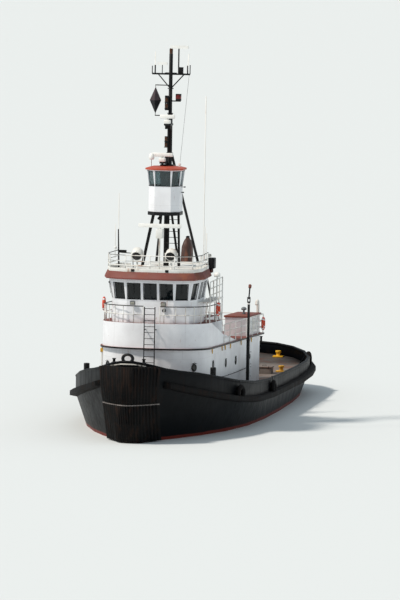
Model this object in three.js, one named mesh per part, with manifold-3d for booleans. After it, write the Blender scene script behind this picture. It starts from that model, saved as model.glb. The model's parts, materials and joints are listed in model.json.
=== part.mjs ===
// Harbour tugboat with a raised wheelhouse, a lattice tower and an upper conning house.
// Millimetres. Bow toward -Y, port side +X, +Z up, origin on the waterline amidships.
import * as THREE from 'three';
import { mergeVertices } from 'three/addons/utils/BufferGeometryUtils.js';
import Module from 'manifold-3d';

const wasm = await Module();
wasm.setup();

// Driving dimensions
const length = 33000; // stem to stern of the hull
const halfBeam = 4680;
const gap = 0.35; // between pieces that rest on each other
const sheet = 80; // thickness of deckhouse walls
const deckPitch = 0.035; // fall of the boat deck per unit of length, toward the stern
const boatDeckTop = 4370; // at its front edge
const boatDeckFront = 5120; // aft of the stem
const boatDeckAft = 23200;
const boatDeckHalf = 2880;
const trunkHeight = 1260; // raised deck above the boat deck
const wheelRoof = 8200;
const conningFloor = 11060;
const conningRoof = 13290; // at its edge

const colours = {
  black: 0x15171a, white: 0xe9edef, deckRed: 0x8a4038, roofOrange: 0xd8553a, bottomRed: 0x6e2a25,
  rubber: 0x1b1a19, glass: 0x27333a, bronze: 0x9a7a3c, yellow: 0xd6a721,
  orange: 0xe0632c, grey: 0x777d80, brown: 0x5a3527,
};

const object = new THREE.Group();

// aft turns a distance behind the stem into Y
const aft = (distance) => distance - length / 2;

// Solids: closed shapes that can be joined and cut
function solid(geometry) {
  const bare = geometry.clone();
  for (const name of Object.keys(bare.attributes)) {
    if (name !== 'position') bare.deleteAttribute(name);
  }
  const merged = mergeVertices(bare, 1e-3);
  return new wasm.Manifold(new wasm.Mesh({
    numProp: 3,
    vertProperties: Float32Array.from(merged.attributes.position.array),
    triVerts: Uint32Array.from(merged.index.array),
  }));
}

function geometryOf(body) {
  const mesh = body.getMesh();
  const geometry = new THREE.BufferGeometry();
  geometry.setAttribute('position', new THREE.BufferAttribute(Float32Array.from(mesh.vertProperties), 3));
  geometry.setIndex(new THREE.BufferAttribute(Uint32Array.from(mesh.triVerts), 1));
  geometry.computeVertexNormals();
  return geometry;
}

const join = (...bodies) => bodies.reduce((whole, next) => whole.add(next));

// add puts a solid in the scene under its name
function add(name, body, colour, { roughness = 0.6, metalness = 0 } = {}) {
  const material = new THREE.MeshStandardMaterial({ color: colour, roughness, metalness });
  const mesh = new THREE.Mesh(geometryOf(body), material);
  mesh.name = name;
  object.add(mesh);
}

// Box between two corners
function block(x0, x1, y0, y1, z0, z1) {
  const geometry = new THREE.BoxGeometry(x1 - x0, y1 - y0, z1 - z0);
  geometry.translate((x0 + x1) / 2, (y0 + y1) / 2, (z0 + z1) / 2);
  return solid(geometry);
}

// Upright prism of a plan outline, [x, y] points
function prism(outline, z0, z1) {
  const shape = new THREE.Shape(outline.map(([x, y]) => new THREE.Vector2(x, y)));
  const geometry = new THREE.ExtrudeGeometry(shape, { depth: z1 - z0, bevelEnabled: false });
  geometry.translate(0, 0, z0);
  return solid(geometry);
}

// Round bar between two points
function bar(from, to, radius, sides = 8, endRadius = radius) {
  const start = new THREE.Vector3(...from);
  const end = new THREE.Vector3(...to);
  const along = end.clone().sub(start);
  const geometry = new THREE.CylinderGeometry(endRadius, radius, along.length(), sides);
  geometry.translate(0, along.length() / 2, 0);
  const turn = new THREE.Quaternion().setFromUnitVectors(new THREE.Vector3(0, 1, 0), along.normalize());
  geometry.applyQuaternion(turn);
  geometry.translate(...from);
  return solid(geometry);
}

// Turned shape about the Z axis, profile of [radius, z] points that starts and ends on the axis
function turned(profile, sides = 16) {
  const geometry = new THREE.LatheGeometry(profile.map(([r, z]) => new THREE.Vector2(r, z)), sides);
  geometry.rotateX(Math.PI / 2);
  const body = solid(geometry);
  return body.volume() > 0 ? body : solid(flipped(geometry));
}

function flipped(geometry) {
  const copy = geometry.clone();
  const index = copy.index.array;
  for (let i = 0; i < index.length; i += 3) [index[i], index[i + 1]] = [index[i + 1], index[i]];
  return copy;
}

// Skin through rings of equal point counts. A closed run joins the last ring to the first; an open
// one is capped at both ends, the caps drawn without the coordinate that the run follows
function loft(rings, { closed = false, along = 1 } = {}) {
  const count = rings[0].length;
  const index = [];
  const last = closed ? rings.length : rings.length - 1;
  for (let i = 0; i < last; i += 1) {
    const a = i * count;
    const b = ((i + 1) % rings.length) * count;
    for (let j = 0; j < count; j += 1) {
      const k = (j + 1) % count;
      index.push(a + j, b + j, b + k, a + j, b + k, a + k);
    }
  }
  if (!closed) {
    const flat = ([x, y, z]) => new THREE.Vector2(...[[y, z], [x, z], [x, y]][along]);
    const cap = (ring, offset, reverse) => {
      const outline = ring.map(flat);
      const turn = THREE.ShapeUtils.isClockWise(outline) ? 1 : -1;
      for (const [i, j, k] of THREE.ShapeUtils.triangulateShape(outline, [])) {
        const area = outline[j].clone().sub(outline[i]).cross(outline[k].clone().sub(outline[i]));
        const forward = (area > 0 ? -1 : 1) === turn;
        const [m, n] = forward === reverse ? [k, j] : [j, k];
        index.push(offset + i, offset + m, offset + n);
      }
    };
    cap(rings[0], 0, false);
    cap(rings[rings.length - 1], (rings.length - 1) * count, true);
  }
  const geometry = new THREE.BufferGeometry();
  geometry.setAttribute('position', new THREE.BufferAttribute(Float32Array.from(rings.flat(2)), 3));
  geometry.setIndex(index);
  const body = solid(geometry);
  return body.volume() > 0 ? body : solid(flipped(geometry));
}

// Outline moved inward, or outward where the distance is negative; points are [x, y] or [x, y, z]
function inset(points, distance) {
  return points.map((point, i) => {
    const before = points[(i + points.length - 1) % points.length];
    const after = points[(i + 1) % points.length];
    const a = new THREE.Vector2(point[0] - before[0], point[1] - before[1]).normalize();
    const b = new THREE.Vector2(after[0] - point[0], after[1] - point[1]).normalize();
    const bisector = a.clone().add(b).normalize();
    const reach = distance / Math.max(0.5, bisector.dot(a));
    return [point[0] - bisector.y * reach, point[1] + bisector.x * reach, ...point.slice(2)];
  });
}

// Between looks up a column in a table by distance aft
function between(table, distance, column) {
  if (distance <= table[0][0]) return table[0][column];
  for (let i = 0; i + 1 < table.length; i += 1) {
    const [low, high] = [table[i], table[i + 1]];
    if (distance <= high[0]) {
      const share = (distance - low[0]) / (high[0] - low[0]);
      return low[column] + share * (high[column] - low[column]);
    }
  }
  return table[table.length - 1][column];
}

// Hull stations. Columns: distance aft, half breadth at deck, deck height, half breadth low on the
// side, height of that point, keel height, roundness of the bilge, bulwark half breadth, bulwark top
const stations = [
  [0, 250, 3350, 120, 2500, 2300, 1.0, 300, 4130],
  [400, 800, 3250, 350, 1500, 1200, 1.0, 840, 4010],
  [900, 1230, 3100, 450, 400, 100, 1.0, 1280, 3860],
  [1600, 1650, 2900, 650, 0, -1100, 1.1, 1700, 3670],
  [2600, 2210, 2660, 1220, 0, -2100, 1.15, 2250, 3480],
  [3900, 2900, 2380, 1980, 0, -2800, 1.1, 2920, 3290],
  [5500, 3550, 2080, 2750, 0, -3250, 0.95, 3560, 3010],
  [8000, 4260, 1700, 3640, 0, -3500, 0.75, 4260, 2590],
  [11000, 4590, 1420, 4220, 0, -3600, 0.55, 4580, 2270],
  [14500, 4670, 1300, 4450, 0, -3600, 0.5, 4650, 2070],
  [19000, halfBeam, 1230, 4510, 0, -3550, 0.5, 4660, 1980],
  [23500, halfBeam, 1200, 4430, 0, -3100, 0.55, 4650, 1920],
  [27000, 4630, 1260, 4230, 0, -2000, 0.62, 4590, 1880],
  [29000, 4460, 1360, 3960, 0, -1250, 0.7, 4410, 1950],
  [30700, 3940, 1500, 3380, 0, -750, 0.75, 3880, 2080],
  [31900, 3100, 1630, 2540, 50, -350, 0.8, 3030, 2200],
  [32600, 2100, 1700, 1540, 200, 0, 0.9, 2020, 2290],
  [33000, 900, 1750, 500, 450, 350, 1.0, 820, 2330],
];
const columns = { deckHalf: 1, deck: 2, lowHalf: 3, low: 4, keel: 5, bilge: 6, topHalf: 7, top: 8 };
const deckAt = (distance) => between(stations, distance, columns.deck);

// Half breadth of the hull or bulwark at a distance aft and a height
function sideAt(distance, z) {
  const at = (column) => between(stations, distance, column);
  if (z >= at(columns.deck)) {
    const share = (z - at(columns.deck)) / (at(columns.top) - at(columns.deck));
    return at(columns.deckHalf) + Math.min(share, 1) * (at(columns.topHalf) - at(columns.deckHalf));
  }
  const share = Math.max(0, (z - at(columns.low)) / (at(columns.deck) - at(columns.low)));
  return at(columns.lowHalf) + share * (at(columns.deckHalf) - at(columns.lowHalf));
}

// Hull: a decked solid, flat across at deck level, side line down to the bilge, round to the keel
const bilgeSteps = 5;
function hullRing([distance, deckHalf, deck, lowHalf, low, keel, bilge]) {
  const half = [[deckHalf, deck]];
  for (let i = 0; i < bilgeSteps; i += 1) {
    const turn = (i / bilgeSteps) * Math.PI / 2;
    half.push([lowHalf * Math.cos(turn) ** bilge, low + (keel - low) * Math.sin(turn) ** bilge]);
  }
  const port = half.map(([x, z]) => [x, aft(distance), z]);
  const starboard = half.map(([x, z]) => [-x, aft(distance), z]).reverse();
  return [...port, [0, aft(distance), keel], ...starboard];
}
const bareHull = loft(stations.map(hullRing));

// Skeg on the centreline and a shaft bossing on each side
const shaftOut = 1850;
const shaftHeight = -2400;
const propellerY = aft(29300);
const bossing = aft(27600);
const skeg = block(-160, 160, aft(20000), aft(27500), -3700, -1500);
const bossings = [-1, 1].map((side) => join(
  bar([side * shaftOut, aft(22500), shaftHeight], [side * shaftOut, bossing, shaftHeight], 260, 12),
  block(side * shaftOut - 70, side * shaftOut + 70, aft(24000), aft(27400), shaftHeight, -1000)));
// Rudder trunks: round bosses under the counter that end in a flat face
const rudderY = aft(30700);
const rudderTrunk = { thick: 190, foot: -1080 };
const trunks = [-1, 1].map((side) => bar([side * shaftOut, rudderY, rudderTrunk.foot],
  [side * shaftOut, rudderY, 0], rudderTrunk.thick, 16));
const hull = join(bareHull, skeg, ...bossings, ...trunks);
add('hull', hull, colours.black, { roughness: 0.55 });

// Cutters: all that is below the deck, and a hull that is larger by the gap on every side
const wide = 9000;
const underDeck = (y, z) => [[wide, y, z + gap], [wide, y, -wide], [-wide, y, -wide], [-wide, y, z + gap]];
const lastStation = stations[stations.length - 1];
const belowDeck = loft([
  underDeck(aft(-3000), stations[0][2]),
  ...stations.map(([distance, , deck]) => underDeck(aft(distance), deck)),
  underDeck(aft(length + 3000), lastStation[2])]);
const swell = (body) => body.scale([1 + gap / halfBeam, 1 + gap / (length / 2), 1 + gap / 1500]);
const hullCutter = swell(hull);

// Bulwark: one wall round the deck edge
const bulwarkThick = 110;
const sink = 120;
function hullOutline(column, level) {
  const port = stations.map((row) => [row[column], aft(row[0]), level(row)]);
  const starboard = port.map(([x, y, z]) => [-x, y, z]).reverse();
  return [...port, ...starboard];
}
const footLine = hullOutline(columns.deckHalf, (row) => row[columns.deck] - sink);
const topLine = hullOutline(columns.topHalf, (row) => row[columns.top]);
const footInner = inset(footLine, bulwarkThick);
const topInner = inset(topLine, bulwarkThick);
const bulwark = loft(footLine.map((foot, i) => [foot, topLine[i], topInner[i], footInner[i]]), { closed: true })
  .subtract(belowDeck);
const bulwarkFull = loft(stations.map((row) => {
  const y = aft(row[0]);
  const foot = row[columns.deck] - sink;
  const top = row[columns.top];
  return [[row[columns.deckHalf], y, foot], [row[columns.topHalf], y, top], [row[columns.topHalf], y, wide],
    [-row[columns.topHalf], y, wide], [-row[columns.topHalf], y, top], [-row[columns.deckHalf], y, foot]];
}));
add('bulwark', bulwark, colours.black, { roughness: 0.55 });
const shellCutter = hullCutter.add(swell(bulwarkFull));

// Rub rail: a heavy strip at deck level, from one side of the bow fender round the stern to the other
const railProud = 300;
const railHigh = 380;
const railLift = 150; // of its top above the deck line
const railStart = 1500;
const railLine = hullOutline(columns.deckHalf, (row) => row[columns.deck]);
const railOuter = inset(railLine, -railProud);
const railInner = inset(railLine, 200);
const railSection = (i) => {
  const [innerX, innerY, z] = railInner[i];
  const [outerX, outerY] = railOuter[i];
  const top = z + railLift;
  return [[innerX, innerY, top - railHigh], [outerX, outerY, top - railHigh + 90],
    [outerX, outerY, top - 50], [innerX, innerY, top + 40]];
};
const rubRail = loft(railLine.map((_, i) => railSection(i)), { closed: true })
  .subtract(shellCutter).subtract(block(-9000, 9000, aft(-3000), aft(railStart), -9000, 9000));
add('rub_rail', rubRail, colours.rubber, { roughness: 0.8 });

// Half breadth of the shell at any height, below zero where there is no hull
function shellHalf(distance, z) {
  const at = (column) => between(stations, distance, column);
  if (z < at(columns.keel)) return -1;
  if (z >= at(columns.low)) return sideAt(distance, z);
  const depth = (z - at(columns.low)) / (at(columns.keel) - at(columns.low));
  const sine = depth ** (1 / at(columns.bilge));
  return at(columns.lowHalf) * Math.sqrt(Math.max(0, 1 - sine * sine)) ** at(columns.bilge);
}

// Distance aft at which the shell reaches a half breadth at a height
function reaches(half, z) {
  let [near, far] = [0, 9000];
  for (let i = 0; i < 30; i += 1) {
    const middle = (near + far) / 2;
    if (shellHalf(middle, z) < half) near = middle;
    else far = middle;
  }
  return far;
}

// Bow fender: two ribbed rubber blocks that follow the bow, one above the other
const fender = { proud: 400, rib: 60, ribs: 22, centre: 3000, halfTop: 1360, halfBottom: 1060, top: 3900 };
const fenderHalf = (z) => fender.halfBottom + (fender.halfTop - fender.halfBottom) * z / fender.top;
function fenderRing(z) {
  const outer = [];
  const inner = [];
  const steps = fender.ribs * 4;
  for (let i = 0; i <= steps; i += 1) {
    if (i % 4 === 3 && i < steps) continue;
    const x = fenderHalf(z) * (2 * i / steps - 1);
    const y = aft(reaches(Math.abs(x), z));
    const away = new THREE.Vector2(x, y - aft(fender.centre)).normalize();
    const proud = i % 4 === 0 && i > 0 && i < steps ? fender.proud - fender.rib : fender.proud;
    outer.push([x + away.x * proud, y + away.y * proud, z]);
    inner.push([x - away.x * 500, y - away.y * 500, z]);
  }
  return [...outer, ...inner.reverse()];
}
// The fender stops short of the bulwark's top
const capDrop = 100;
const overTop = (y, z) => [[wide, y, z - capDrop], [wide, y, wide], [-wide, y, wide], [-wide, y, z - capDrop]];
const aboveBulwark = loft([
  overTop(aft(-3000), stations[0][columns.top]),
  ...stations.map((row) => overTop(aft(row[0]), row[columns.top]))]);
function fenderBlock(levels) {
  return loft(levels.map(fenderRing), { along: 2 }).subtract(shellCutter).subtract(aboveBulwark);
}
add('bow_fender_upper', fenderBlock([2040, 2900, fender.top]), colours.rubber, { roughness: 0.85 });
add('bow_fender_lower', fenderBlock([60, 1000, 1950]), colours.rubber, { roughness: 0.85 });

// Pitch: shears a level solid to the fall of the boat deck
const pitch = (body) => body.transform([
  1, 0, 0, 0,
  0, 1, -deckPitch, 0,
  0, 0, 1, 0,
  0, 0, deckPitch * aft(boatDeckFront), 1]);
const pitched = (y, z) => z - deckPitch * (y - aft(boatDeckFront));

// Plan of a house with a round front, a little squarer at its shoulders than an ellipse
const frontPower = 0.83;
function roundFront(half, front, depth, end, steps = 7) {
  const port = [];
  for (let i = 0; i <= steps; i += 1) {
    const turn = (i / steps) * Math.PI / 2;
    port.push([half * Math.sin(turn) ** frontPower, aft(front) + depth * (1 - Math.cos(turn) ** frontPower)]);
  }
  port.push([half, aft(end)]);
  const starboard = port.slice(1).map(([x, y]) => [-x, y]).reverse();
  return [...port, ...starboard];
}

// Main deckhouse: open below onto the deck and above to the boat deck, with three doorways
const house = { half: 2750, front: 5300, depth: 2600, end: 22500 };
const slab = 80;
const doorWidth = 700;
const doorHeight = 1800;
const doorClear = 6;
const sideDoor = 19500;
const houseShell = pitch(prism(roundFront(house.half, house.front, house.depth, house.end),
  300, boatDeckTop - slab - gap));
const houseRoom = pitch(prism(
  roundFront(house.half - sheet, house.front + sheet, house.depth - sheet, house.end - sheet), 0, 6000));
const doorSill = 220;
const sideDoorway = (side) => {
  const foot = deckAt(sideDoor) + doorSill;
  return block(side * house.half - 400, side * house.half + 400,
    aft(sideDoor) - doorWidth / 2 - doorClear, aft(sideDoor) + doorWidth / 2 + doorClear,
    foot, foot + doorHeight);
};
const aftDoorX = 900;
const aftFoot = deckAt(house.end) + doorSill;
const aftDoorway = block(aftDoorX - doorWidth / 2 - doorClear, aftDoorX + doorWidth / 2 + doorClear,
  aft(house.end) - 400, aft(house.end) + 400, aftFoot, aftFoot + doorHeight);
// Doors: a plate that fills its doorway with a running gap, on two knuckles at a standing edge
const knuckle = { radius: 20, length: 160, sides: 12, inset: 260 };
const knuckleRow = (x, y, z0, z1, radius) => [z0 + knuckle.inset, z1 - knuckle.inset].map((z) => bar(
  [x, y, z - knuckle.length / 2], [x, y, z + knuckle.length / 2], radius, knuckle.sides));
const knuckles = (x, y, z0, z1) => join(...knuckleRow(x, y, z0, z1, knuckle.radius));
const knuckleHoles = (x, y, z0, z1) => join(...knuckleRow(x, y, z0, z1, knuckle.radius + 1).map((hole) => (
  hole.add(hole.translate([0, 0, gap])).add(hole.translate([0, 0, -gap])))));
const doorPlate = (x0, x1, y0, y1, z0, z1) => block(x0, x1, y0, y1, z0 + doorClear, z1 - doorClear);
let deckhouse = houseShell.subtract(houseRoom).subtract(belowDeck)
  .subtract(sideDoorway(1)).subtract(sideDoorway(-1)).subtract(aftDoorway)
  .subtract(knuckleHoles(aftDoorX - doorWidth / 2, aft(house.end), aftFoot, aftFoot + doorHeight));
for (const [name, side] of [['port', 1], ['starboard', -1]]) {
  const foot = deckAt(sideDoor) + doorSill;
  deckhouse = deckhouse.subtract(knuckleHoles(side * house.half, aft(sideDoor) - doorWidth / 2,
    foot, foot + doorHeight));
  const outer = side * house.half;
  const inner = side * (house.half - sheet);
  const edge = aft(sideDoor) - doorWidth / 2;
  add(`deckhouse_door_${name}`, doorPlate(Math.min(outer, inner), Math.max(outer, inner),
    edge, aft(sideDoor) + doorWidth / 2, foot, foot + doorHeight)
    .add(knuckles(outer, edge, foot, foot + doorHeight)), colours.white);
}
add('deckhouse', deckhouse, colours.white);
add('deckhouse_door_aft', doorPlate(aftDoorX - doorWidth / 2, aftDoorX + doorWidth / 2,
  aft(house.end) - sheet, aft(house.end), aftFoot, aftFoot + doorHeight)
  .add(knuckles(aftDoorX - doorWidth / 2, aft(house.end), aftFoot, aftFoot + doorHeight)), colours.white);

// Boat deck
const boatDeckPlan = roundFront(boatDeckHalf, boatDeckFront, 2720, boatDeckAft, 9);
add('boat_deck', pitch(prism(boatDeckPlan, boatDeckTop - slab, boatDeckTop)), colours.deckRed);

// Raised deck: a trunk under the wheelhouse, narrow under the tower, with low side coamings that run
// out along the boat deck
const trunk = { half: 2780, front: 5230, depth: 2650, end: 10900, narrow: 1750, narrowEnd: 15600 };
const trunkTop = boatDeckTop + trunkHeight;
const wideTrunk = prism(roundFront(trunk.half, trunk.front, trunk.depth, trunk.end, 9),
  boatDeckTop + gap, trunkTop);
const narrowTrunk = block(-trunk.narrow, trunk.narrow, aft(trunk.end) - 500, aft(trunk.narrowEnd),
  boatDeckTop + gap, trunkTop);
const coamingRun = { start: 10200, knee: 10950, end: 14800, high: 560, low: 60 };
function sideCoaming(side) {
  const inner = side * (trunk.half - sheet);
  const outer = side * trunk.half;
  const foot = boatDeckTop + gap;
  return loft([inner, outer].map((x) => [
    [x, aft(coamingRun.start), foot], [x, aft(coamingRun.end), foot],
    [x, aft(coamingRun.end), foot + coamingRun.low], [x, aft(coamingRun.knee), foot + coamingRun.high],
    [x, aft(coamingRun.start), trunkTop - 10]]), { along: 0 });
}
add('raised_deck', pitch(join(wideTrunk, narrowTrunk, sideCoaming(1), sideCoaming(-1))), colours.white);
const belowTrunk = pitch(block(-9000, 9000, aft(0), aft(30000), -3000, trunkTop + gap));
const belowBoatDeck = pitch(block(-9000, 9000, aft(0), aft(30000), -3000, boatDeckTop + gap));

// Guard rail along a level line on a pitched deck: posts on every point, round rails between them
const railBar = 24;
function guardRail(points, deck, heights, base) {
  const at = ([x, y], rise) => [x, y, deck + rise];
  const pieces = points.map((point) => bar(at(point, -60), at(point, heights[0]), railBar, 4));
  for (const rise of heights) {
    for (let i = 0; i + 1 < points.length; i += 1) {
      pieces.push(bar(at(points[i], rise), at(points[i + 1], rise), railBar, 4));
    }
  }
  return pitch(join(...pieces)).subtract(base);
}

// Rail on the raised deck: two runs that leave a gap at the front ladder
const trunkRailPlan = inset(roundFront(trunk.half, trunk.front, trunk.depth, trunk.end, 7), 90);
const trunkRailSide = [...trunkRailPlan.slice(1, 8), [trunkRailPlan[7][0], aft(9300)],
  [trunkRailPlan[7][0], aft(trunk.end) - 90]];
const ladderX = 150;
const ladderWidth = 540;
const railBreak = 430;
const trunkRail = (side) => [[side === 1 ? ladderX + railBreak : ladderX - railBreak, trunkRailPlan[0][1] + 40],
  ...trunkRailSide.map(([x, y]) => [side * x, y])];
const trunkRailRise = [860, 430];
add('raised_deck_rail_port', guardRail(trunkRail(1), trunkTop, trunkRailRise, belowTrunk), colours.white);
add('raised_deck_rail_starboard', guardRail(trunkRail(-1), trunkTop, trunkRailRise, belowTrunk), colours.white);

// Boat deck rail: from the slope of the trunk round the after edge, posts about 1.5 m apart
const boatRailStart = 11400;
const boatRailX = boatDeckHalf - 60;
const boatRailSide = [];
for (let i = 0; i <= 7; i += 1) {
  boatRailSide.push([boatRailX, aft(boatRailStart + i * (boatDeckAft - 100 - boatRailStart) / 7)]);
}
const boatRailEnd = aft(boatDeckAft - 100);
const boatRailLine = [...boatRailSide, [1500, boatRailEnd], [0, boatRailEnd], [-1500, boatRailEnd],
  ...boatRailSide.map(([x, y]) => [-x, y]).reverse()];
add('boat_deck_rail', guardRail(boatRailLine, boatDeckTop, [1000, 650, 320], belowBoatDeck), colours.white);

// Front ladder from the main deck to the raised deck
const ladder = { y: aft(4840), foot: 2050, top: 6500, rung: 305, stile: 28 };
const ladderParts = [-1, 1].map((side) => {
  const x = ladderX + side * ladderWidth / 2;
  return join(
    bar([x, ladder.y, ladder.foot], [x, ladder.y, ladder.top], ladder.stile, 6),
    bar([x, ladder.y, trunkTop - 300], [x, aft(trunk.front) + 60, trunkTop - 300], ladder.stile, 6));
});
for (let z = ladder.foot + 400; z < ladder.top; z += ladder.rung) {
  ladderParts.push(bar([ladderX - ladderWidth / 2, ladder.y, z], [ladderX + ladderWidth / 2, ladder.y, z], 16, 4));
}
const trunkFace = pitch(prism(inset(roundFront(trunk.half, trunk.front, trunk.depth, trunk.end, 9), -gap),
  boatDeckTop, trunkTop));
add('front_ladder', join(...ladderParts).subtract(belowDeck).subtract(trunkFace), colours.black);

// Wheelhouse: three front windows, two facets each side, straight sides, a narrower casing behind
const wheel = {
  front: 5700, frontHalf: 1215, midHalf: 1950, midFront: 6030, half: 2190, shoulder: 6860, end: 8900,
  casingHalf: 1500, casingEnd: 13000, sill: 6700, head: 7700, lean: 190,
};
const wheelSide = [[wheel.frontHalf, wheel.front], [wheel.midHalf, wheel.midFront],
  [wheel.half, wheel.shoulder], [wheel.half, wheel.end]];
const mirrored = (side) => {
  const port = side.map(([x, d]) => [x, aft(d)]);
  return [...port, ...port.map(([x, y]) => [-x, y]).reverse()];
};
const wheelPlan = mirrored(wheelSide);
const leanPlan = inset(wheelPlan, -wheel.lean).map(([x, y]) => [x, Math.min(y, aft(wheel.end))]);
const level = (outline, z) => outline.map(([x, y]) => [x, y, z]);
const wheelTop = wheelRoof - 380;
const casing = (shrink, z0, z1) => block(-wheel.casingHalf + shrink, wheel.casingHalf - shrink,
  aft(wheel.end) - 300, aft(wheel.casingEnd) - shrink, z0, z1);
const wheelOuter = loft([level(wheelPlan, 5000), level(wheelPlan, wheel.sill), level(leanPlan, wheel.head),
  level(leanPlan, wheelTop)], { along: 2 }).add(casing(0, 5000, wheelTop));
const wheelRoom = loft([level(inset(wheelPlan, sheet), 4900), level(inset(wheelPlan, sheet), wheel.sill),
  level(inset(leanPlan, sheet), wheel.head), level(inset(leanPlan, sheet), wheelTop + 100)],
{ along: 2 }).add(casing(sheet, 4900, wheelTop + 100));

// Windows cut square through a wall facet. Columns: middle x, middle distance aft, turn of the facet,
// width
const windowHigh = 800;
const windowZ = (wheel.sill + wheel.head) / 2 + 10;
const portWindows = [
  [835, 5700, 0, 640], [1582, 5865, 24, 590], [2070, 6445, 74, 600], [2210, 7340, 90, 560],
  [2210, 8280, 90, 560],
];
const wheelWindows = [[0, 5700, 0, 640]];
for (const [x, distance, turn, width] of portWindows) {
  wheelWindows.push([x, distance, turn, width], [-x, distance, -turn, width]);
}
function windowCut([x, distance, turn, width], z, high, deep = 700) {
  const cut = new THREE.BoxGeometry(width, deep, high);
  cut.rotateZ(THREE.MathUtils.degToRad(turn));
  cut.translate(x, aft(distance), z);
  return solid(cut);
}
// Doors in the after wall, one each side of the casing
const wheelDoor = { x: 1835, width: 540, foot: 5760, high: 1800 };
const wheelDoorway = (side) => block(side * wheelDoor.x - wheelDoor.width / 2 - doorClear,
  side * wheelDoor.x + wheelDoor.width / 2 + doorClear, aft(wheel.end) - 300, aft(wheel.end) + 300,
  wheelDoor.foot, wheelDoor.foot + wheelDoor.high);
let wheelhouse = wheelOuter.subtract(wheelRoom).subtract(belowTrunk);
for (const row of wheelWindows) wheelhouse = wheelhouse.subtract(windowCut(row, windowZ, windowHigh));
for (const side of [1, -1]) {
  wheelhouse = wheelhouse.subtract(wheelDoorway(side)).subtract(knuckleHoles(
    side * (wheelDoor.x - wheelDoor.width / 2), aft(wheel.end), wheelDoor.foot, wheelDoor.foot + wheelDoor.high));
}
add('wheelhouse', wheelhouse, colours.white);
for (const [name, side] of [['port', 1], ['starboard', -1]]) {
  add(`wheelhouse_door_${name}`, doorPlate(side * wheelDoor.x - wheelDoor.width / 2,
    side * wheelDoor.x + wheelDoor.width / 2, aft(wheel.end) - sheet, aft(wheel.end),
    wheelDoor.foot, wheelDoor.foot + wheelDoor.high).add(knuckles(side * (wheelDoor.x - wheelDoor.width / 2),
    aft(wheel.end), wheelDoor.foot, wheelDoor.foot + wheelDoor.high)), colours.white);
}

// Glazing: one band of glass against the inside of the window wall, from side to side past the front
const glassThick = 14;
const glassEnd = aft(8650);
function glassRing(plan, z) {
  const path = (o) => [[o[2][0], glassEnd], o[2], o[1], o[0], o[7], o[6], o[5], [o[5][0], glassEnd]];
  const outer = path(inset(plan, sheet + gap));
  const inner = path(inset(plan, sheet + gap + glassThick));
  return level([...outer, ...inner.reverse()], z);
}
add('wheelhouse_glazing', loft([glassRing(wheelPlan, wheel.sill), glassRing(leanPlan, wheel.head)], { along: 2 }),
  colours.glass, { roughness: 0.1 });

// Roof: a red visor that overhangs the windows and slopes in to a white coaming on its top edge
const visor = { brim: 220, edge: 70, taper: 90, end: 9150, coamingIn: 5, coamingThick: 70, coamingTop: 8370 };
const roofPlan = (overhang) => inset(leanPlan, -overhang).map(([x, y]) => (
  y < aft(wheel.shoulder) + 1000 ? [x, y] : [x - Math.sign(x) * visor.taper, aft(visor.end)]));
const visorPlan = roofPlan(visor.brim);
const visorTop = roofPlan(visor.edge);
const casingRoof = block(-wheel.casingHalf - 120, wheel.casingHalf + 120, aft(visor.end) - 500,
  aft(wheel.casingEnd) + 120, wheelTop + gap, wheelRoof);
const searchlightX = 880;
const searchlightY = aft(6600);
const searchlightFoot = 8645;
const lightPosts = [-1, 1].map((side) => bar([side * searchlightX, searchlightY, wheelRoof - 50],
  [side * searchlightX, searchlightY, searchlightFoot], 45, 10));
add('wheelhouse_roof', join(loft([level(visorPlan, wheelTop + gap), level(visorPlan, wheelTop + 60),
  level(visorTop, wheelRoof)], { along: 2 }), casingRoof, ...lightPosts), colours.deckRed);
const coaming = prism(inset(visorTop, visor.coamingIn), wheelRoof + gap, visor.coamingTop)
  .subtract(prism(inset(visorTop, visor.coamingIn + visor.coamingThick), wheelRoof - 100,
    visor.coamingTop + 100))
  .subtract(block(-wheel.casingHalf - 200, wheel.casingHalf + 200, aft(visor.end) - 400,
    aft(visor.end) + 400, wheelRoof - 100, visor.coamingTop + 100));
add('roof_coaming', coaming, colours.white);

// Roof rail with whip aerials clamped to its sides
const roofRailPlan = inset(visorTop, visor.coamingIn + visor.coamingThick / 2);
const roofRail = { foot: visor.coamingTop + gap, middle: 8740, top: 9030, post: 26 };
const roofRailRuns = [[roofRail.top, 20], [roofRail.middle, 22], [8520, 32]]; // height, thickness
const roofRailSide = roofRailPlan.slice(0, 4);
roofRailSide[3] = [roofRailSide[3][0], aft(visor.end) - 90];
const toStarboard = (points) => points.map(([x, y]) => [-x, y]).reverse();
const roofRailRun = [...toStarboard(roofRailSide), ...roofRailSide];
const roofRailParts = [...roofRailRun, [0, roofRailPlan[0][1]]].map(([x, y]) => bar(
  [x, y, roofRail.foot], [x, y, roofRail.top], roofRail.post, 4));
for (const [z, thick] of roofRailRuns) {
  for (let i = 0; i + 1 < roofRailRun.length; i += 1) {
    roofRailParts.push(bar([...roofRailRun[i], z], [...roofRailRun[i + 1], z], thick, 4));
  }
}
// Whips. Columns: side, distance aft, top, thickness
const whips = [[-1, 8900, 11950, 22], [-1, 8200, 10400, 18], [1, 7400, 17100, 30], [1, 7900, 10450, 20],
  [1, 8500, 10050, 20]];
for (const [side, distance, top, thick] of whips) {
  const [[fore, foreY], [rear, rearY]] = roofRailSide.slice(2);
  const x = side * (fore + (rear - fore) * (aft(distance) - foreY) / (rearY - foreY));
  roofRailParts.push(bar([x, aft(distance), roofRail.middle - 60], [x, aft(distance), top], thick, 5));
}
add('roof_rail', join(...roofRailParts), colours.white);

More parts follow.
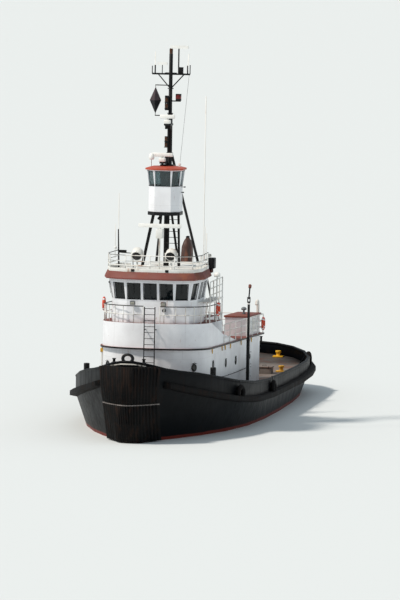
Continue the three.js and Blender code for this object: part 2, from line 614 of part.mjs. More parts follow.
// Searchlights: a drum, turned down in its yoke, that pans on its post
function searchlight(side, tilt) {
  const [x, y, foot] = [side * searchlightX, searchlightY, searchlightFoot + gap];
  const drum = turned([[0, -260], [262, -260], [288, -200], [288, 120], [210, 240], [0, 280]], 18)
    .rotate([tilt - 90, 0, 0]).translate([x, y, foot + 420]);
  const yoke = join(
    block(x - 335, x + 335, y - 40, y + 40, foot, foot + 36),
    block(x - 335, x - 303, y - 40, y + 40, foot, foot + 480),
    block(x + 303, x + 335, y - 40, y + 40, foot, foot + 480),
    bar([x - 310, y, foot + 420], [x + 310, y, foot + 420], 25, 8));
  return drum.add(yoke);
}
add('searchlight_port', searchlight(1, 22), colours.white);
add('searchlight_starboard', searchlight(-1, 30), colours.white);

// Radars: a gearbox with a scanner bar that turns on it. A is on a pole, B and C stand on the mast
const scannerThick = 190;
function scanner(x, y, z, span) {
  const body = new THREE.BoxGeometry(span, 150, scannerThick, 1, 1, 1);
  body.translate(x, y, z + 70 + scannerThick / 2);
  return join(solid(body), bar([x, y, z], [x, y, z + 120], 70, 12));
}
const radarA = { x: 200, y: aft(6900), top: 10310, span: 2200 };
add('radar_pedestal', join(
  bar([radarA.x, radarA.y, wheelRoof + gap], [radarA.x, radarA.y, radarA.top - 420], 45, 8),
  block(radarA.x - 170, radarA.x + 170, radarA.y - 170, radarA.y + 190, radarA.top - 470, radarA.top)),
colours.white);
add('radar_scanner_low', scanner(radarA.x, radarA.y, radarA.top + gap, radarA.span), colours.white);

// Octagon with square corners cut off, for the conning house
function octagon(half, corner, middle) {
  const side = half - corner;
  const y = aft(middle);
  return [[side, y - half], [half, y - side], [half, y + side], [side, y + half],
    [-side, y + half], [-half, y + side], [-half, y - side], [-side, y - half]];
}

// Tower: a trunk, four legs and a ladder that carry the conning platform
const conning = {
  middle: 9380, half: 800, corner: 380, topHalf: 910, sill: 12330, head: 13200, roofHalf: 985, crown: 70,
  deck: 180, platformHalf: 830,
};
const roofTop = wheelRoof + gap;
const platform = conningFloor - conning.deck;
const towerLegs = [
  { from: [30, aft(9650), roofTop], to: [30, aft(9650), platform], thick: 145 },
  { from: [-1120, aft(9150), roofTop], to: [-560, aft(9150), platform], thick: 85 },
  { from: [800, aft(9150), roofTop], to: [380, aft(9150), platform], thick: 60 },
  { from: [760, aft(9400), roofTop], to: [690, aft(9400), platform], thick: 60 },
  { from: [-1400, aft(10650), roofTop], to: [-700, aft(9880), platform], thick: 70 },
  { from: [540, aft(10600), roofTop], to: [580, aft(9920), platform], thick: 60 },
];
const towerParts = towerLegs.map(({ from, to, thick }) => bar(from, [to[0], to[1], to[2] + 60], thick, 8));
for (let z = roofTop + 300; z < platform; z += 305) {
  towerParts.push(bar([30, aft(9450), z], [760, aft(9400), z], 16, 4));
}
towerParts.push(prism(octagon(conning.platformHalf, conning.corner, conning.middle), platform, conningFloor));
add('tower_frame', join(...towerParts).subtract(block(-9000, 9000, -9000, 9000, 0, roofTop)), colours.black);

// Conning house: octagonal, a window in each wall, a door aft
const conningPlan = octagon(conning.half, conning.corner, conning.middle);
const conningTop = octagon(conning.topHalf, conning.corner + 50, conning.middle);
const conningWall = 60;
const conningShell = (shrink, low, high) => loft([
  level(inset(conningPlan, shrink), low), level(inset(conningPlan, shrink), conning.sill),
  level(inset(conningTop, shrink), high)], { along: 2 });
let conningHouse = conningShell(0, conningFloor + gap, conning.head)
  .subtract(conningShell(conningWall, conningFloor - 100, conning.head + 0.5));
const conningWindow = { high: 760, z: (conning.sill + conning.head) / 2, wide: 800, narrow: 500 };
for (let i = 0; i < 8; i += 1) {
  if (i === 4) continue;
  const turn = i * Math.PI / 4;
  const x = conning.half * Math.sin(turn);
  const distance = conning.middle - conning.half * Math.cos(turn);
  const width = i % 2 ? conningWindow.narrow : conningWindow.wide;
  conningHouse = conningHouse.subtract(windowCut([x, distance, i * 45, width], conningWindow.z,
    conningWindow.high, 500));
}
const conningDoor = { width: 620, foot: conningFloor + 60, high: 1180 };
const conningBack = aft(conning.middle) + conning.half;
conningHouse = conningHouse.subtract(block(-conningDoor.width / 2 - doorClear, conningDoor.width / 2 + doorClear,
  conningBack - 200, conningBack + 300, conningDoor.foot, conningDoor.foot + conningDoor.high));
conningHouse = conningHouse.subtract(knuckleHoles(-conningDoor.width / 2, conningBack,
  conningDoor.foot, conningDoor.foot + conningDoor.high));
add('conning_house', conningHouse, colours.white);
add('conning_door', doorPlate(-conningDoor.width / 2, conningDoor.width / 2, conningBack - 45, conningBack,
  conningDoor.foot, conningDoor.foot + conningDoor.high).add(knuckles(-conningDoor.width / 2, conningBack,
  conningDoor.foot, conningDoor.foot + conningDoor.high)), colours.white);
function conningGlass(plan, z) {
  const path = (o) => [...o.slice(4), ...o.slice(0, 4)];
  const outer = path(inset(plan, conningWall + gap));
  const inner = path(inset(plan, conningWall + gap + glassThick));
  return level([...outer, ...inner.reverse()], z);
}
add('conning_glazing', loft([conningGlass(conningPlan, conning.sill), conningGlass(conningTop, conning.head - gap)],
  { along: 2 }), colours.glass, { roughness: 0.1 });
const conningRoofPlan = octagon(conning.roofHalf, 480, conning.middle);
const crown = conningRoof + conning.crown;
add('conning_roof', loft([level(conningRoofPlan, conning.head + gap), level(conningRoofPlan, conningRoof),
  level(octagon(720, 350, conning.middle), crown)], { along: 2 }), colours.roofOrange);

// Mast on the conning roof, with two stays aft, yards, lamp boxes, radar brackets and aerials
const mast = { x: 20, y: aft(10150), foot: crown + gap, top: 19100, thick: 130, thin: 95 };
const stay = { head: 14000, headX: 100, foot: roofTop, footX: 1100, footY: aft(12900), thick: 70 };
const mastParts = [
  bar([mast.x, mast.y, mast.foot], [mast.x, mast.y, 16000], mast.thick, 10),
  bar([mast.x, mast.y, 15900], [mast.x, mast.y, mast.top], mast.thin, 10),
  block(mast.x - 420, mast.x + 260, mast.y - 330, mast.y + 120, mast.foot, mast.foot + 60),
  bar([mast.x - 380, mast.y - 100, mast.foot + 30], [mast.x, mast.y, mast.foot + 800], 50, 6),
  block(mast.x - 90, mast.x + 90, mast.y - 90, mast.y + 160, stay.head - 160, stay.head + 80),
];
for (const side of [-1, 1]) {
  mastParts.push(bar([side * stay.footX, stay.footY, stay.foot], [side * stay.headX, mast.y + 100, stay.head],
    stay.thick, 8));
}
// Brackets for the two upper radars, and lamp boxes. Columns: x from, x to, y from, y to, z from, z to
const radarB = { x: mast.x - 240, y: mast.y - 700, z: 13580, span: 1100 };
const radarC = { x: mast.x - 30, y: mast.y - 570, z: 15530, span: 780 };
const brackets = [
  [radarB.x - 120, radarB.x + 160, radarB.y - 120, mast.y, radarB.z - 90, radarB.z],
  [radarC.x - 150, radarC.x + 200, radarC.y - 150, mast.y, radarC.z - 90, radarC.z],
  [radarC.x - 110, radarC.x + 150, radarC.y - 60, mast.y, radarC.z - 270, radarC.z - 80],
  [mast.x - 240, mast.x - 60, mast.y - 160, mast.y + 40, 14300, 14860],
  [mast.x - 260, mast.x - 60, mast.y - 160, mast.y + 40, 16200, 16950],
  [mast.x + 60, mast.x + 540, mast.y - 60, mast.y + 20, 16650, 16710],
  [mast.x + 290, mast.x + 560, mast.y - 110, mast.y + 70, 16700, 17050],
];
for (const row of brackets) mastParts.push(block(...row));
const yard = { z: 18060, left: -970, right: 1000, bar: 45, whip: 26 };
mastParts.push(
  bar([mast.x + yard.left, mast.y, yard.z], [mast.x + yard.right, mast.y, yard.z], yard.bar, 8),
  bar([mast.x + yard.left + 300, mast.y, yard.z], [mast.x, mast.y, 17300], 30, 6),
  bar([mast.x + yard.right - 300, mast.y, yard.z], [mast.x, mast.y, 17300], 30, 6),
  block(mast.x - 280, mast.x + 280, mast.y - 200, mast.y + 200, yard.z + 20, yard.z + 70),
  bar([mast.x - 820, mast.y, yard.z], [mast.x - 820, mast.y, 19200], yard.whip, 6),
  bar([mast.x + 870, mast.y, yard.z], [mast.x + 925, mast.y, 19100], yard.whip, 6),
  bar([mast.x + 400, mast.y, yard.z], [mast.x + 400, mast.y, 19400], 38, 6),
  block(mast.x - 20, mast.x + 900, mast.y - 70, mast.y + 70, 19370, 19530),
  bar([mast.x - 450, mast.y, yard.z], [mast.x - 450, mast.y, 18560], 22, 6),
  block(mast.x - 700, mast.x - 200, mast.y - 60, mast.y + 60, 18520, 18660),
  bar([mast.x + yard.left, mast.y, yard.z], [mast.x + yard.left, mast.y, 18460], 26, 6),
  bar([mast.x + yard.right, mast.y, yard.z], [mast.x + yard.right, mast.y, 18540], 26, 6),
  block(mast.x + 430, mast.x + 640, mast.y - 80, mast.y + 80, yard.z + 20, 18420),
  turned([[0, 0], [80, 0], [80, 230], [60, 280], [0, 290]], 12).translate([mast.x, mast.y, mast.top - 20]),
);
// Arms for the diamond shape
const diamond = { x: mast.x - 780, half: 300, top: 17390, foot: 16010 };
const armReach = diamond.x - 20;
mastParts.push(
  bar([mast.x, mast.y, diamond.top + 90], [armReach, mast.y, diamond.top + 90], 25, 6),
  bar([mast.x, mast.y, diamond.foot - 90], [armReach, mast.y, diamond.foot - 90], 25, 6),
);
add('mast', join(...mastParts).subtract(block(-wide, wide, -wide, wide, 0, roofTop)), colours.black);
const middleZ = (diamond.top + diamond.foot) / 2;
const pin = 65;
const diamondBody = join(
  turned([[0, diamond.foot - middleZ], [diamond.half, 0], [0, diamond.top - middleZ]], 4)
    .translate([diamond.x, mast.y, middleZ]),
  bar([diamond.x, mast.y, diamond.foot - pin + gap], [diamond.x, mast.y, diamond.top + pin - gap], 14, 6));
add('day_shape', diamondBody, colours.black);

// Upper radars
for (const [name, radar] of [['middle', radarB], ['high', radarC]]) {
  const top = radar.z + 200;
  add(`radar_gearbox_${name}`, block(radar.x - 160, radar.x + 160, radar.y - 150, radar.y + 180,
    radar.z + gap, top), colours.white);
  add(`radar_scanner_${name}`, scanner(radar.x, radar.y, top + gap, radar.span), colours.white);
}

// Exhaust funnel: a raked fin with a narrow rounded top, on a base on the narrow trunk behind the casing
const stack = { x: 200, distance: 14400, rake: 260 };
const stackBase = block(-900, 900, aft(13700), aft(15200), 5000, 6900);
// Columns: height, half breadth, half length
const stackRings = [[6800, 330, 650], [8450, 265, 560], [8900, 245, 480], [9200, 150, 380], [9350, 50, 280]];
const stackFin = loft(stackRings.map(([z, half, reach]) => {
  const y = aft(stack.distance) + stack.rake * (z - stackRings[0][0]) / (stackRings[4][0] - stackRings[0][0]);
  const side = [[half * 0.5, y - reach], [half, y - reach * 0.6], [half, y + reach * 0.6], [half * 0.5, y + reach]];
  return level([...side, ...toStarboard(side)].map(([x, forward]) => [stack.x + x, forward]), z);
}), { along: 2 });
add('exhaust_stack', join(stackBase, stackFin).subtract(belowTrunk), colours.brown);

// Walkway at window height along the port side of the wheelhouse, on legs, with its own rail
const walkway = { level: 6620, thick: 60, inner: wheel.half + 10, outer: 2820, start: 7300, end: 10900,
  rail: 1030, leg: 30, bar: 29 };
const walkwayX = walkway.outer - 40;
const walkwayPosts = [walkway.start + 60, 8300, 9200, 10000, walkway.end - 60];
const walkwayParts = [block(walkway.inner, walkway.outer, aft(walkway.start), aft(walkway.end),
  walkway.level - walkway.thick, walkway.level)];
for (const post of walkwayPosts) {
  walkwayParts.push(bar([walkwayX, aft(post), walkway.level - 30],
    [walkwayX, aft(post), walkway.level + walkway.rail], walkway.bar, 4));
}
for (const rise of [walkway.rail, 680, 340]) {
  walkwayParts.push(bar([walkwayX, aft(walkwayPosts[0]), walkway.level + rise],
    [walkwayX, aft(walkwayPosts[4]), walkway.level + rise], walkway.bar, 4));
}
for (const [x, post] of [[walkwayX, 0], [walkwayX, 2], [walkwayX, 4], [2400, 4]]) {
  const y = aft(walkwayPosts[post]);
  walkwayParts.push(bar([x, y, 5000], [x, y, walkway.level - 30], walkway.leg, 8));
}
add('walkway_port', join(...walkwayParts).subtract(belowTrunk), colours.white);

// Domed aerial on a post at the port walkway's after corner
const dome = { x: walkway.outer - 100, y: aft(9600), foot: walkway.level + gap, radius: 170, top: 8060 };
add('satellite_dome', join(
  bar([dome.x, dome.y, dome.foot], [dome.x, dome.y, dome.top - 290], 30, 8),
  turned([[0, -60], [150, -60], [dome.radius, 0], [150, 110], [85, 165], [0, 185]], 14)
    .translate([dome.x, dome.y, dome.top - 250])), colours.white);

// Stairs from the boat deck to the raised deck, on both sides of the narrow trunk
function stairs(side) {
  const x = side * 2250;
  const half = 330;
  const foot = aft(12350);
  const head = aft(trunk.end) + 40;
  const parts = [-1, 1].map((edge) => join(
    bar([x + edge * half, foot, 3900], [x + edge * half, head, trunkTop - 60], 45, 6),
    bar([x + edge * half, foot - 90, 5000], [x + edge * half, head, trunkTop + 900], 22, 4),
    bar([x + edge * half, foot - 90, 3900], [x + edge * half, foot - 90, 5000], 22, 4),
    bar([x + edge * half, head, trunkTop - 70], [x + edge * half, head, trunkTop + 900], 22, 4)));
  for (let i = 1; i <= 5; i += 1) {
    const share = i / 6;
    const y = foot + (head - foot) * share;
    const z = 3900 + (trunkTop - 60 - 3900) * share;
    parts.push(block(x - half, x + half, y - 110, y + 110, z - 20, z + 20));
  }
  const trunkEnd = aft(trunk.end) + gap;
  return join(...parts).subtract(belowBoatDeck).subtract(block(-wide, wide, -wide, trunkEnd, 0, trunkTop));
}
add('stairs_port', stairs(1), colours.white);
add('stairs_starboard', stairs(-1), colours.white);

// Side casings aft on the boat deck: hollow fan houses, open below, with a louvre opening in front
const sideHouse = { inner: 1530, outer: 2690, start: 18700, end: 22800, high: 1000, roof: 90 };
for (const [name, side] of [['port', 1], ['starboard', -1]]) {
  const span = (grow, z0, z1) => {
    const faces = [side * (sideHouse.inner - grow), side * (sideHouse.outer + grow)];
    return block(Math.min(...faces), Math.max(...faces), aft(sideHouse.start) - grow, aft(sideHouse.end) + grow,
      z0, z1);
  };
  add(`fan_house_${name}`, pitch(join(
    span(0, boatDeckTop + gap, boatDeckTop + sideHouse.high),
    span(60, boatDeckTop + sideHouse.high - 10, boatDeckTop + sideHouse.high + sideHouse.roof))), colours.white);
}

// Stores crane on the port side deck: a post and a boom hinged at its top
const crane = { x: 3180, y: aft(16500), thick: 90, thin: 66, shoulder: 4000, head: 6120, cheekIn: 46,
  cheekOut: 78 };
add('crane_post', join(
  bar([crane.x, crane.y, 600], [crane.x, crane.y, crane.shoulder], crane.thick, 12),
  bar([crane.x, crane.y, crane.shoulder - 20], [crane.x, crane.y, crane.head - 180], crane.thin, 12),
  block(crane.x - crane.cheekOut, crane.x + crane.cheekOut, crane.y - 60, crane.y + 60, crane.head - 230,
    crane.head - 170),
  block(crane.x - crane.cheekOut, crane.x - crane.cheekIn, crane.y - 60, crane.y + 60, crane.head - 200,
    crane.head + 60),
  block(crane.x + crane.cheekIn, crane.x + crane.cheekOut, crane.y - 60, crane.y + 60, crane.head - 200,
    crane.head + 60),
).subtract(belowDeck), colours.black);
const boom = { back: 300, rise: 690, thick: 38, pivot: 46 };
add('crane_boom', join(
  bar([crane.x, crane.y, crane.head], [crane.x, crane.y + boom.back, crane.head + boom.rise], boom.thick, 8),
  bar([crane.x - crane.cheekIn + gap, crane.y, crane.head], [crane.x + crane.cheekIn - gap, crane.y, crane.head],
    boom.pivot, 12)),
colours.black);

// Towing winch on the after deck: bedplate with two cheeks, and a drum that turns between them
const winch = { y: aft(24300), half: 900, cheek: 110, axle: 2050, bed: 1500, flange: 560, barrel: 260,
  journal: 90 };
const winchFrame = join(
  block(-winch.half - winch.cheek, winch.half + winch.cheek, winch.y - 650, winch.y + 650, 900, winch.bed - 60),
  ...[-1, 1].map((side) => {
    const faces = [side * winch.half, side * (winch.half + winch.cheek)];
    return block(Math.min(...faces), Math.max(...faces), winch.y - 420, winch.y + 420, winch.bed - 100,
      winch.axle + 250);
  })).subtract(belowDeck)
  .subtract(bar([-2000, winch.y, winch.axle], [2000, winch.y, winch.axle], winch.journal + 0.9, 24));
add('winch_frame', winchFrame, colours.black);
const flangeThick = 40;
const drum = turned([[0, -winch.half - 100], [winch.journal, -winch.half - 100], [winch.journal, -winch.half + 20],
  [winch.flange - 10, -winch.half + 20], [winch.flange - 10, -winch.half + 20 + flangeThick],
  [winch.barrel, -winch.half + 20 + flangeThick], [winch.barrel, winch.half - 20 - flangeThick],
  [winch.flange - 10, winch.half - 20 - flangeThick], [winch.flange - 10, winch.half - 20],
  [winch.journal, winch.half - 20], [winch.journal, winch.half + 100], [0, winch.half + 100]], 24)
  .rotate([0, 90, 0]).translate([0, winch.y, winch.axle]);
add('winch_drum', drum, colours.grey);

// Towing bitts: an H of two posts and a crossbar, and small bitts at the bow and stern
const bitts = { y: aft(27200), x: 520, thick: 170, top: 2350 };
add('towing_bitts', join(...[-1, 1].map((side) => bar([side * bitts.x, bitts.y, 900],
  [side * bitts.x, bitts.y, bitts.top], bitts.thick, 12)),
bar([-bitts.x - 450, bitts.y, bitts.top - 350], [bitts.x + 450, bitts.y, bitts.top - 350], 120, 12))
  .subtract(belowDeck), colours.black);
function bollard(x, distance, high) {
  const deck = deckAt(distance);
  return join(
    bar([x, aft(distance), deck - 300], [x, aft(distance), deck + high - 40], 110, 12),
    block(x - 280, x + 280, aft(distance) - 220, aft(distance) + 220, deck - 300, deck + 60),
    bar([x, aft(distance), deck + high - 100], [x, aft(distance), deck + high], 160, 12)).subtract(belowDeck);
}
// Bollards. Columns: name, x, distance aft, height, colour
const bollards = [
  ['quarter_port', 3170, 27150, 340, colours.yellow], ['quarter_starboard', -3170, 27150, 340, colours.yellow],
  ['after_port', 2180, 31900, 340, colours.yellow], ['after_starboard', -2180, 31900, 340, colours.yellow],
  ['bow', 0, 2300, 460, colours.black]];
for (const [name, x, distance, high, colour] of bollards) {
  add(`bollard_${name}`, bollard(x, distance, high), colour);
}

// Life rings: one on a leg of the walkway, one on the starboard rail of the raised deck
const ringThick = 62;
function lifeRing(x, y, z, turn) {
  const ring = new THREE.TorusGeometry(300, ringThick, 8, 20);
  ring.rotateX(Math.PI / 2);
  ring.rotateZ(THREE.MathUtils.degToRad(turn));
  ring.translate(x, y, z);
  return solid(ring);
}
add('life_ring_port', lifeRing(walkwayX + walkway.leg + ringThick + gap, aft(walkwayPosts[2]), 6120, 90),
  colours.orange);
const [railFore, railRear] = trunkRailSide.slice(5, 7).map(([x, y]) => new THREE.Vector2(x, y));
const railMiddle = railFore.clone().add(railRear).divideScalar(2);
const railNormal = railRear.clone().sub(railFore).normalize().rotateAround(new THREE.Vector2(), -Math.PI / 2);
const ringAt = railMiddle.addScaledVector(railNormal, railBar + ringThick + gap);
add('life_ring_starboard', lifeRing(-ringAt.x, ringAt.y, 6370,
  90 - THREE.MathUtils.radToDeg(railNormal.angle())), colours.orange);

// Propellers: a boss, four blades and the shaft that comes out of the bossing, and a rudder behind each
const shaftThick = 95;
const propeller = { boss: 190, blades: 4, y: propellerY, bladeThick: 44, bladePitch: 27 };
const bladeOutline = [[-150, 120], [-300, 520], [-290, 860], [-120, 1090], [130, 1080], [310, 800], [270, 450],
  [150, 120]];
function propellerBody(side) {
  const boss = turned([[0, -260], [propeller.boss, -260], [propeller.boss, 120], [60, 330], [0, 340]], 16)
    .rotate([-90, 0, 0]);
  const half = propeller.bladeThick / 2;
  const blade = prism(bladeOutline, -half, half).rotate([90, 0, 0]).rotate([0, 0, side * propeller.bladePitch]);
  const blades = [];
  for (let i = 0; i < propeller.blades; i += 1) blades.push(blade.rotate([0, i * 360 / propeller.blades, 0]));
  const shaft = bar([0, bossing + gap - propeller.y, 0], [0, -200, 0], shaftThick, 12);
  return join(boss, shaft, ...blades).translate([side * shaftOut, propeller.y, shaftHeight]);
}
for (const [name, side] of [['port', 1], ['starboard', -1]]) {
  add(`propeller_${name}`, propellerBody(side), colours.bronze, { metalness: 0.8, roughness: 0.4 });
}
const rudder = { y: rudderY, top: -1200, foot: -3450, stock: 110, fore: 380, after: 900, thick: 130 };
for (const [name, side] of [['port', 1], ['starboard', -1]]) {
  const x = side * shaftOut;
  const blade = prism([[0, -rudder.fore], [rudder.thick, -rudder.fore + 260], [rudder.thick * 0.8, 200],
    [25, rudder.after], [-25, rudder.after], [-rudder.thick * 0.8, 200], [-rudder.thick, -rudder.fore + 260]],
  rudder.foot, rudder.top).translate([x, rudder.y, 0]);
  const stock = bar([x, rudder.y, rudder.top - 200], [x, rudder.y, rudderTrunk.foot - gap], rudder.stock, 12);
  add(`rudder_${name}`, blade.add(stock), colours.bottomRed);
}

export default object;
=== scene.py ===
# Harbour tug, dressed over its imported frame: metres, bow toward -Y, port side +X, waterline at zero
import bpy
import bmesh
import json
import math
from mathutils import Matrix, Vector
from mathutils.bvhtree import BVHTree


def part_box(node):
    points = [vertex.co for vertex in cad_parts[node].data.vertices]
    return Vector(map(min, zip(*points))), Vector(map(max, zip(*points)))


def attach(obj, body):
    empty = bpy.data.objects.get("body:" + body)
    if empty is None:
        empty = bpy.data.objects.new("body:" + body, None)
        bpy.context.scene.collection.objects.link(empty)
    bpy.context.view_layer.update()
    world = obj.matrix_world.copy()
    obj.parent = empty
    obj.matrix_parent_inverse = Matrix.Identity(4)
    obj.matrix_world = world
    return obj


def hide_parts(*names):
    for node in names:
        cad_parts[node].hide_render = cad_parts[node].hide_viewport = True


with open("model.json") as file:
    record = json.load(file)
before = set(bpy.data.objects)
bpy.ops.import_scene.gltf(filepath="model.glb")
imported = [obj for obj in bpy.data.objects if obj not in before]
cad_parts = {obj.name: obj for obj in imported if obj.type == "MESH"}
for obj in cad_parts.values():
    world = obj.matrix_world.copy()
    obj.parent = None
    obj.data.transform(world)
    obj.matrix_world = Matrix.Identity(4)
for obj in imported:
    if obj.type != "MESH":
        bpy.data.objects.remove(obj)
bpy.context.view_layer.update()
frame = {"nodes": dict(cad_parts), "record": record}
print("frame loaded,", len(frame["nodes"]), "nodes")

hullLength = 33.0
boatDeck = {"top": 4.37, "front": -11.38, "fall": 0.035}  # the boat deck falls toward the stern
raisedRise = 1.26  # raised deck above the boat deck


def aft(distance):  # distance behind the stem, in metres, to Y
    return distance - hullLength / 2


def boatDeckAt(y):
    return boatDeck["top"] - boatDeck["fall"] * (y - boatDeck["front"])


def linear(hexColour):
    channels = [int(hexColour[i:i + 2], 16) / 255 for i in (1, 3, 5)]
    return [c / 12.92 if c <= 0.04045 else ((c + 0.055) / 1.055) ** 2.4 for c in channels] + [1.0]


# Camera: a long lens from ahead and a little to port, tipped one degree
camera = {"azimuth": 10.45, "elevation": 4.8, "roll": 1.0, "distance": 300.0, "lens": 340.0,
          "target": (0.16, 2.24, 5.75)}


def makeCamera():
    data = bpy.data.cameras.new("camera")
    data.lens = camera["lens"]
    data.sensor_width = 36
    data.clip_end = 6000
    thing = bpy.data.objects.new("camera", data)
    bpy.context.scene.collection.objects.link(thing)
    a, e = math.radians(camera["azimuth"]), math.radians(camera["elevation"])
    back = Vector((math.sin(a) * math.cos(e), -math.cos(a) * math.cos(e), math.sin(e)))
    turn = (-back).to_track_quat("-Z", "Y").to_matrix().to_4x4()
    place = Matrix.Translation(Vector(camera["target"]) + back * camera["distance"])
    thing.matrix_world = place @ turn @ Matrix.Rotation(math.radians(camera["roll"]), 4, "Z")
    bpy.context.scene.camera = thing


# Light: one broad key high on the starboard bow, a pale room
studio = {"floorSize": 1500.0, "floor": "#D9DEE0", "room": "#DCE6EC", "roomStrength": 0.62,
          "key": 3.1, "keySpread": 6.0, "keyFrom": (-0.62, -0.42, 0.95), "keyColour": "#FFF6EA"}


def makeStudio():
    world = bpy.data.worlds.new("room")
    world.use_nodes = True
    background = world.node_tree.nodes["Background"]
    background.inputs["Color"].default_value = linear(studio["room"])
    background.inputs["Strength"].default_value = studio["roomStrength"]
    bpy.context.scene.world = world
    bpy.context.scene.view_settings.view_transform = "Standard"
    data = bpy.data.lights.new("key", "SUN")
    data.energy = studio["key"]
    data.angle = math.radians(studio["keySpread"])
    data.color = linear(studio["keyColour"])[:3]
    key = bpy.data.objects.new("key", data)
    key.rotation_euler = Vector(studio["keyFrom"]).to_track_quat("Z", "Y").to_euler()
    bpy.context.scene.collection.objects.link(key)
    bm = bmesh.new()
    bmesh.ops.create_grid(bm, x_segments=1, y_segments=1, size=studio["floorSize"])
    mesh = bpy.data.meshes.new("floor")
    bm.to_mesh(mesh)
    bm.free()
    floor = bpy.data.objects.new("floor", mesh)
    bpy.context.scene.collection.objects.link(floor)
    mesh.materials.append(floorFinish())


# Materials. addNode adds one node: settings are its inputs or its own values, links its wired inputs.
# Noise scales are in cycles a metre: 0.9 is a stain of about a metre, 7 to 11 are chips of 100 mm, coarser
# than real ones so that they show from far off
def addNode(tree, kind, settings=None, links=None):
    node = tree.nodes.new(kind)
    for key, value in (settings or {}).items():
        if isinstance(key, int) or key in node.inputs:
            node.inputs[key].default_value = value
        else:
            setattr(node, key, value)
    for key, socket in (links or {}).items():
        tree.links.new(socket, node.inputs[key])
    return node


def newMaterial(name, settings):
    material = bpy.data.materials.new(name)
    material.use_nodes = True
    shader = material.node_tree.nodes["Principled BSDF"]
    for key, value in settings.items():
        shader.inputs[key].default_value = value
    return material, material.node_tree, shader


def floorFinish():
    material, _, shader = newMaterial("floorFinish", {"Roughness": 0.9})
    shader.inputs["Base Color"].default_value = linear(studio["floor"])
    return material


def paintedSteel(name, look):  # rolled marine paint on steel plate, with run-down rust, dirt and chips
    material, tree, shader = newMaterial(name, {"IOR": 1.5, "Specular IOR Level": look.get("shine", 0.5)})
    place = addNode(tree, "ShaderNodeTexCoord").outputs["Object"]
    broad = addNode(tree, "ShaderNodeTexNoise", {"Scale": 0.9, "Detail": 4.0}, {"Vector": place})
    tall = addNode(tree, "ShaderNodeMapping", {"Scale": look.get("run", (7.0, 7.0, 0.55))}, {"Vector": place})
    runs = addNode(tree, "ShaderNodeTexNoise", {"Scale": 1.0, "Detail": 6.0, "Roughness": 0.62},
                   {"Vector": tall.outputs[0]})
    chips = addNode(tree, "ShaderNodeTexNoise", {"Scale": look.get("chipSize", 7.0), "Detail": 8.0,
                                                 "Roughness": 0.7}, {"Vector": place})
    both = addNode(tree, "ShaderNodeMath", {"operation": "MULTIPLY"},
                   {0: runs.outputs[0], 1: broad.outputs[0]})
    low, high, most = look["rust"]
    rustMask = addNode(tree, "ShaderNodeMapRange", {"From Min": low, "From Max": high, "To Max": most},
                       {"Value": both.outputs[0]})
    dirtMask = addNode(tree, "ShaderNodeMapRange",
                       {"From Min": 0.38, "From Max": 0.72, "To Max": look["dirt"]},
                       {"Value": broad.outputs[0]})
    chipMask = addNode(tree, "ShaderNodeMapRange",
                       {"From Min": 0.64, "From Max": 0.68, "To Max": look["chip"]},
                       {"Value": chips.outputs[0]})
    colour = addNode(tree, "ShaderNodeMix", {"data_type": "RGBA", 6: linear(look["colour"]),
                                             7: linear(look["dirtColour"])}, {0: dirtMask.outputs[0]})
    colour = addNode(tree, "ShaderNodeMix", {"data_type": "RGBA", 7: linear(look["rustColour"])},
                     {0: rustMask.outputs[0], 6: colour.outputs[2]})
    colour = addNode(tree, "ShaderNodeMix", {"data_type": "RGBA", 7: linear(look["chipColour"])},
                     {0: chipMask.outputs[0], 6: colour.outputs[2]})
    if "seams" in look:  # weld seams between plates: their length and height in metres
        along = addNode(tree, "ShaderNodeSeparateXYZ", {}, {0: place})
        flat = addNode(tree, "ShaderNodeCombineXYZ", {}, {0: along.outputs[1], 1: along.outputs[2]})
        plates = addNode(tree, "ShaderNodeTexBrick", {
            "Scale": 1.0, "Brick Width": look["seams"][0], "Row Height": look["seams"][1],
            "Mortar Size": 0.02, "Mortar Smooth": 0.8}, {"Vector": flat.outputs[0]})
        seamMask = addNode(tree, "ShaderNodeMath", {"operation": "MULTIPLY", 1: look["seamDark"]},
                           {0: plates.outputs["Fac"]})
        colour = addNode(tree, "ShaderNodeMix", {"data_type": "RGBA", 7: linear(look["dirtColour"])},
                         {0: seamMask.outputs[0], 6: colour.outputs[2]})
    if "below" in look:  # another paint below a height, with an uneven edge
        height = addNode(tree, "ShaderNodeSeparateXYZ", {}, {0: place})
        wander = addNode(tree, "ShaderNodeMath", {"operation": "MULTIPLY_ADD", 1: look["below"]["wander"]},
                         {0: broad.outputs[0], 2: height.outputs[2]})
        under = addNode(tree, "ShaderNodeMapRange", {
            "From Min": look["below"]["height"] + 0.02, "From Max": look["below"]["height"] - 0.02},
            {"Value": wander.outputs[0]})
        colour = addNode(tree, "ShaderNodeMix", {"data_type": "RGBA", 7: linear(look["below"]["colour"])},
                         {0: under.outputs[0], 6: colour.outputs[2]})
    tree.links.new(colour.outputs[2], shader.inputs["Base Color"])
    smooth, rough = look["roughness"]
    gloss = addNode(tree, "ShaderNodeMapRange", {"From Min": 0.3, "From Max": 0.7, "To Min": smooth,
                                                 "To Max": rough}, {"Value": runs.outputs[0]})
    tree.links.new(gloss.outputs[0], shader.inputs["Roughness"])
    wave = addNode(tree, "ShaderNodeTexNoise", {"Scale": 0.8, "Detail": 1.0}, {"Vector": place})
    dent = addNode(tree, "ShaderNodeBump", {"Strength": look.get("dent", 0.25), "Distance": 0.05},
                   {"Height": wave.outputs[0]})
    skin = addNode(tree, "ShaderNodeBump", {"Strength": 0.3, "Distance": look.get("grain", 0.004)},
                   {"Height": chips.outputs[0], "Normal": dent.outputs[0]})
    tree.links.new(skin.outputs[0], shader.inputs["Normal"])
    return material


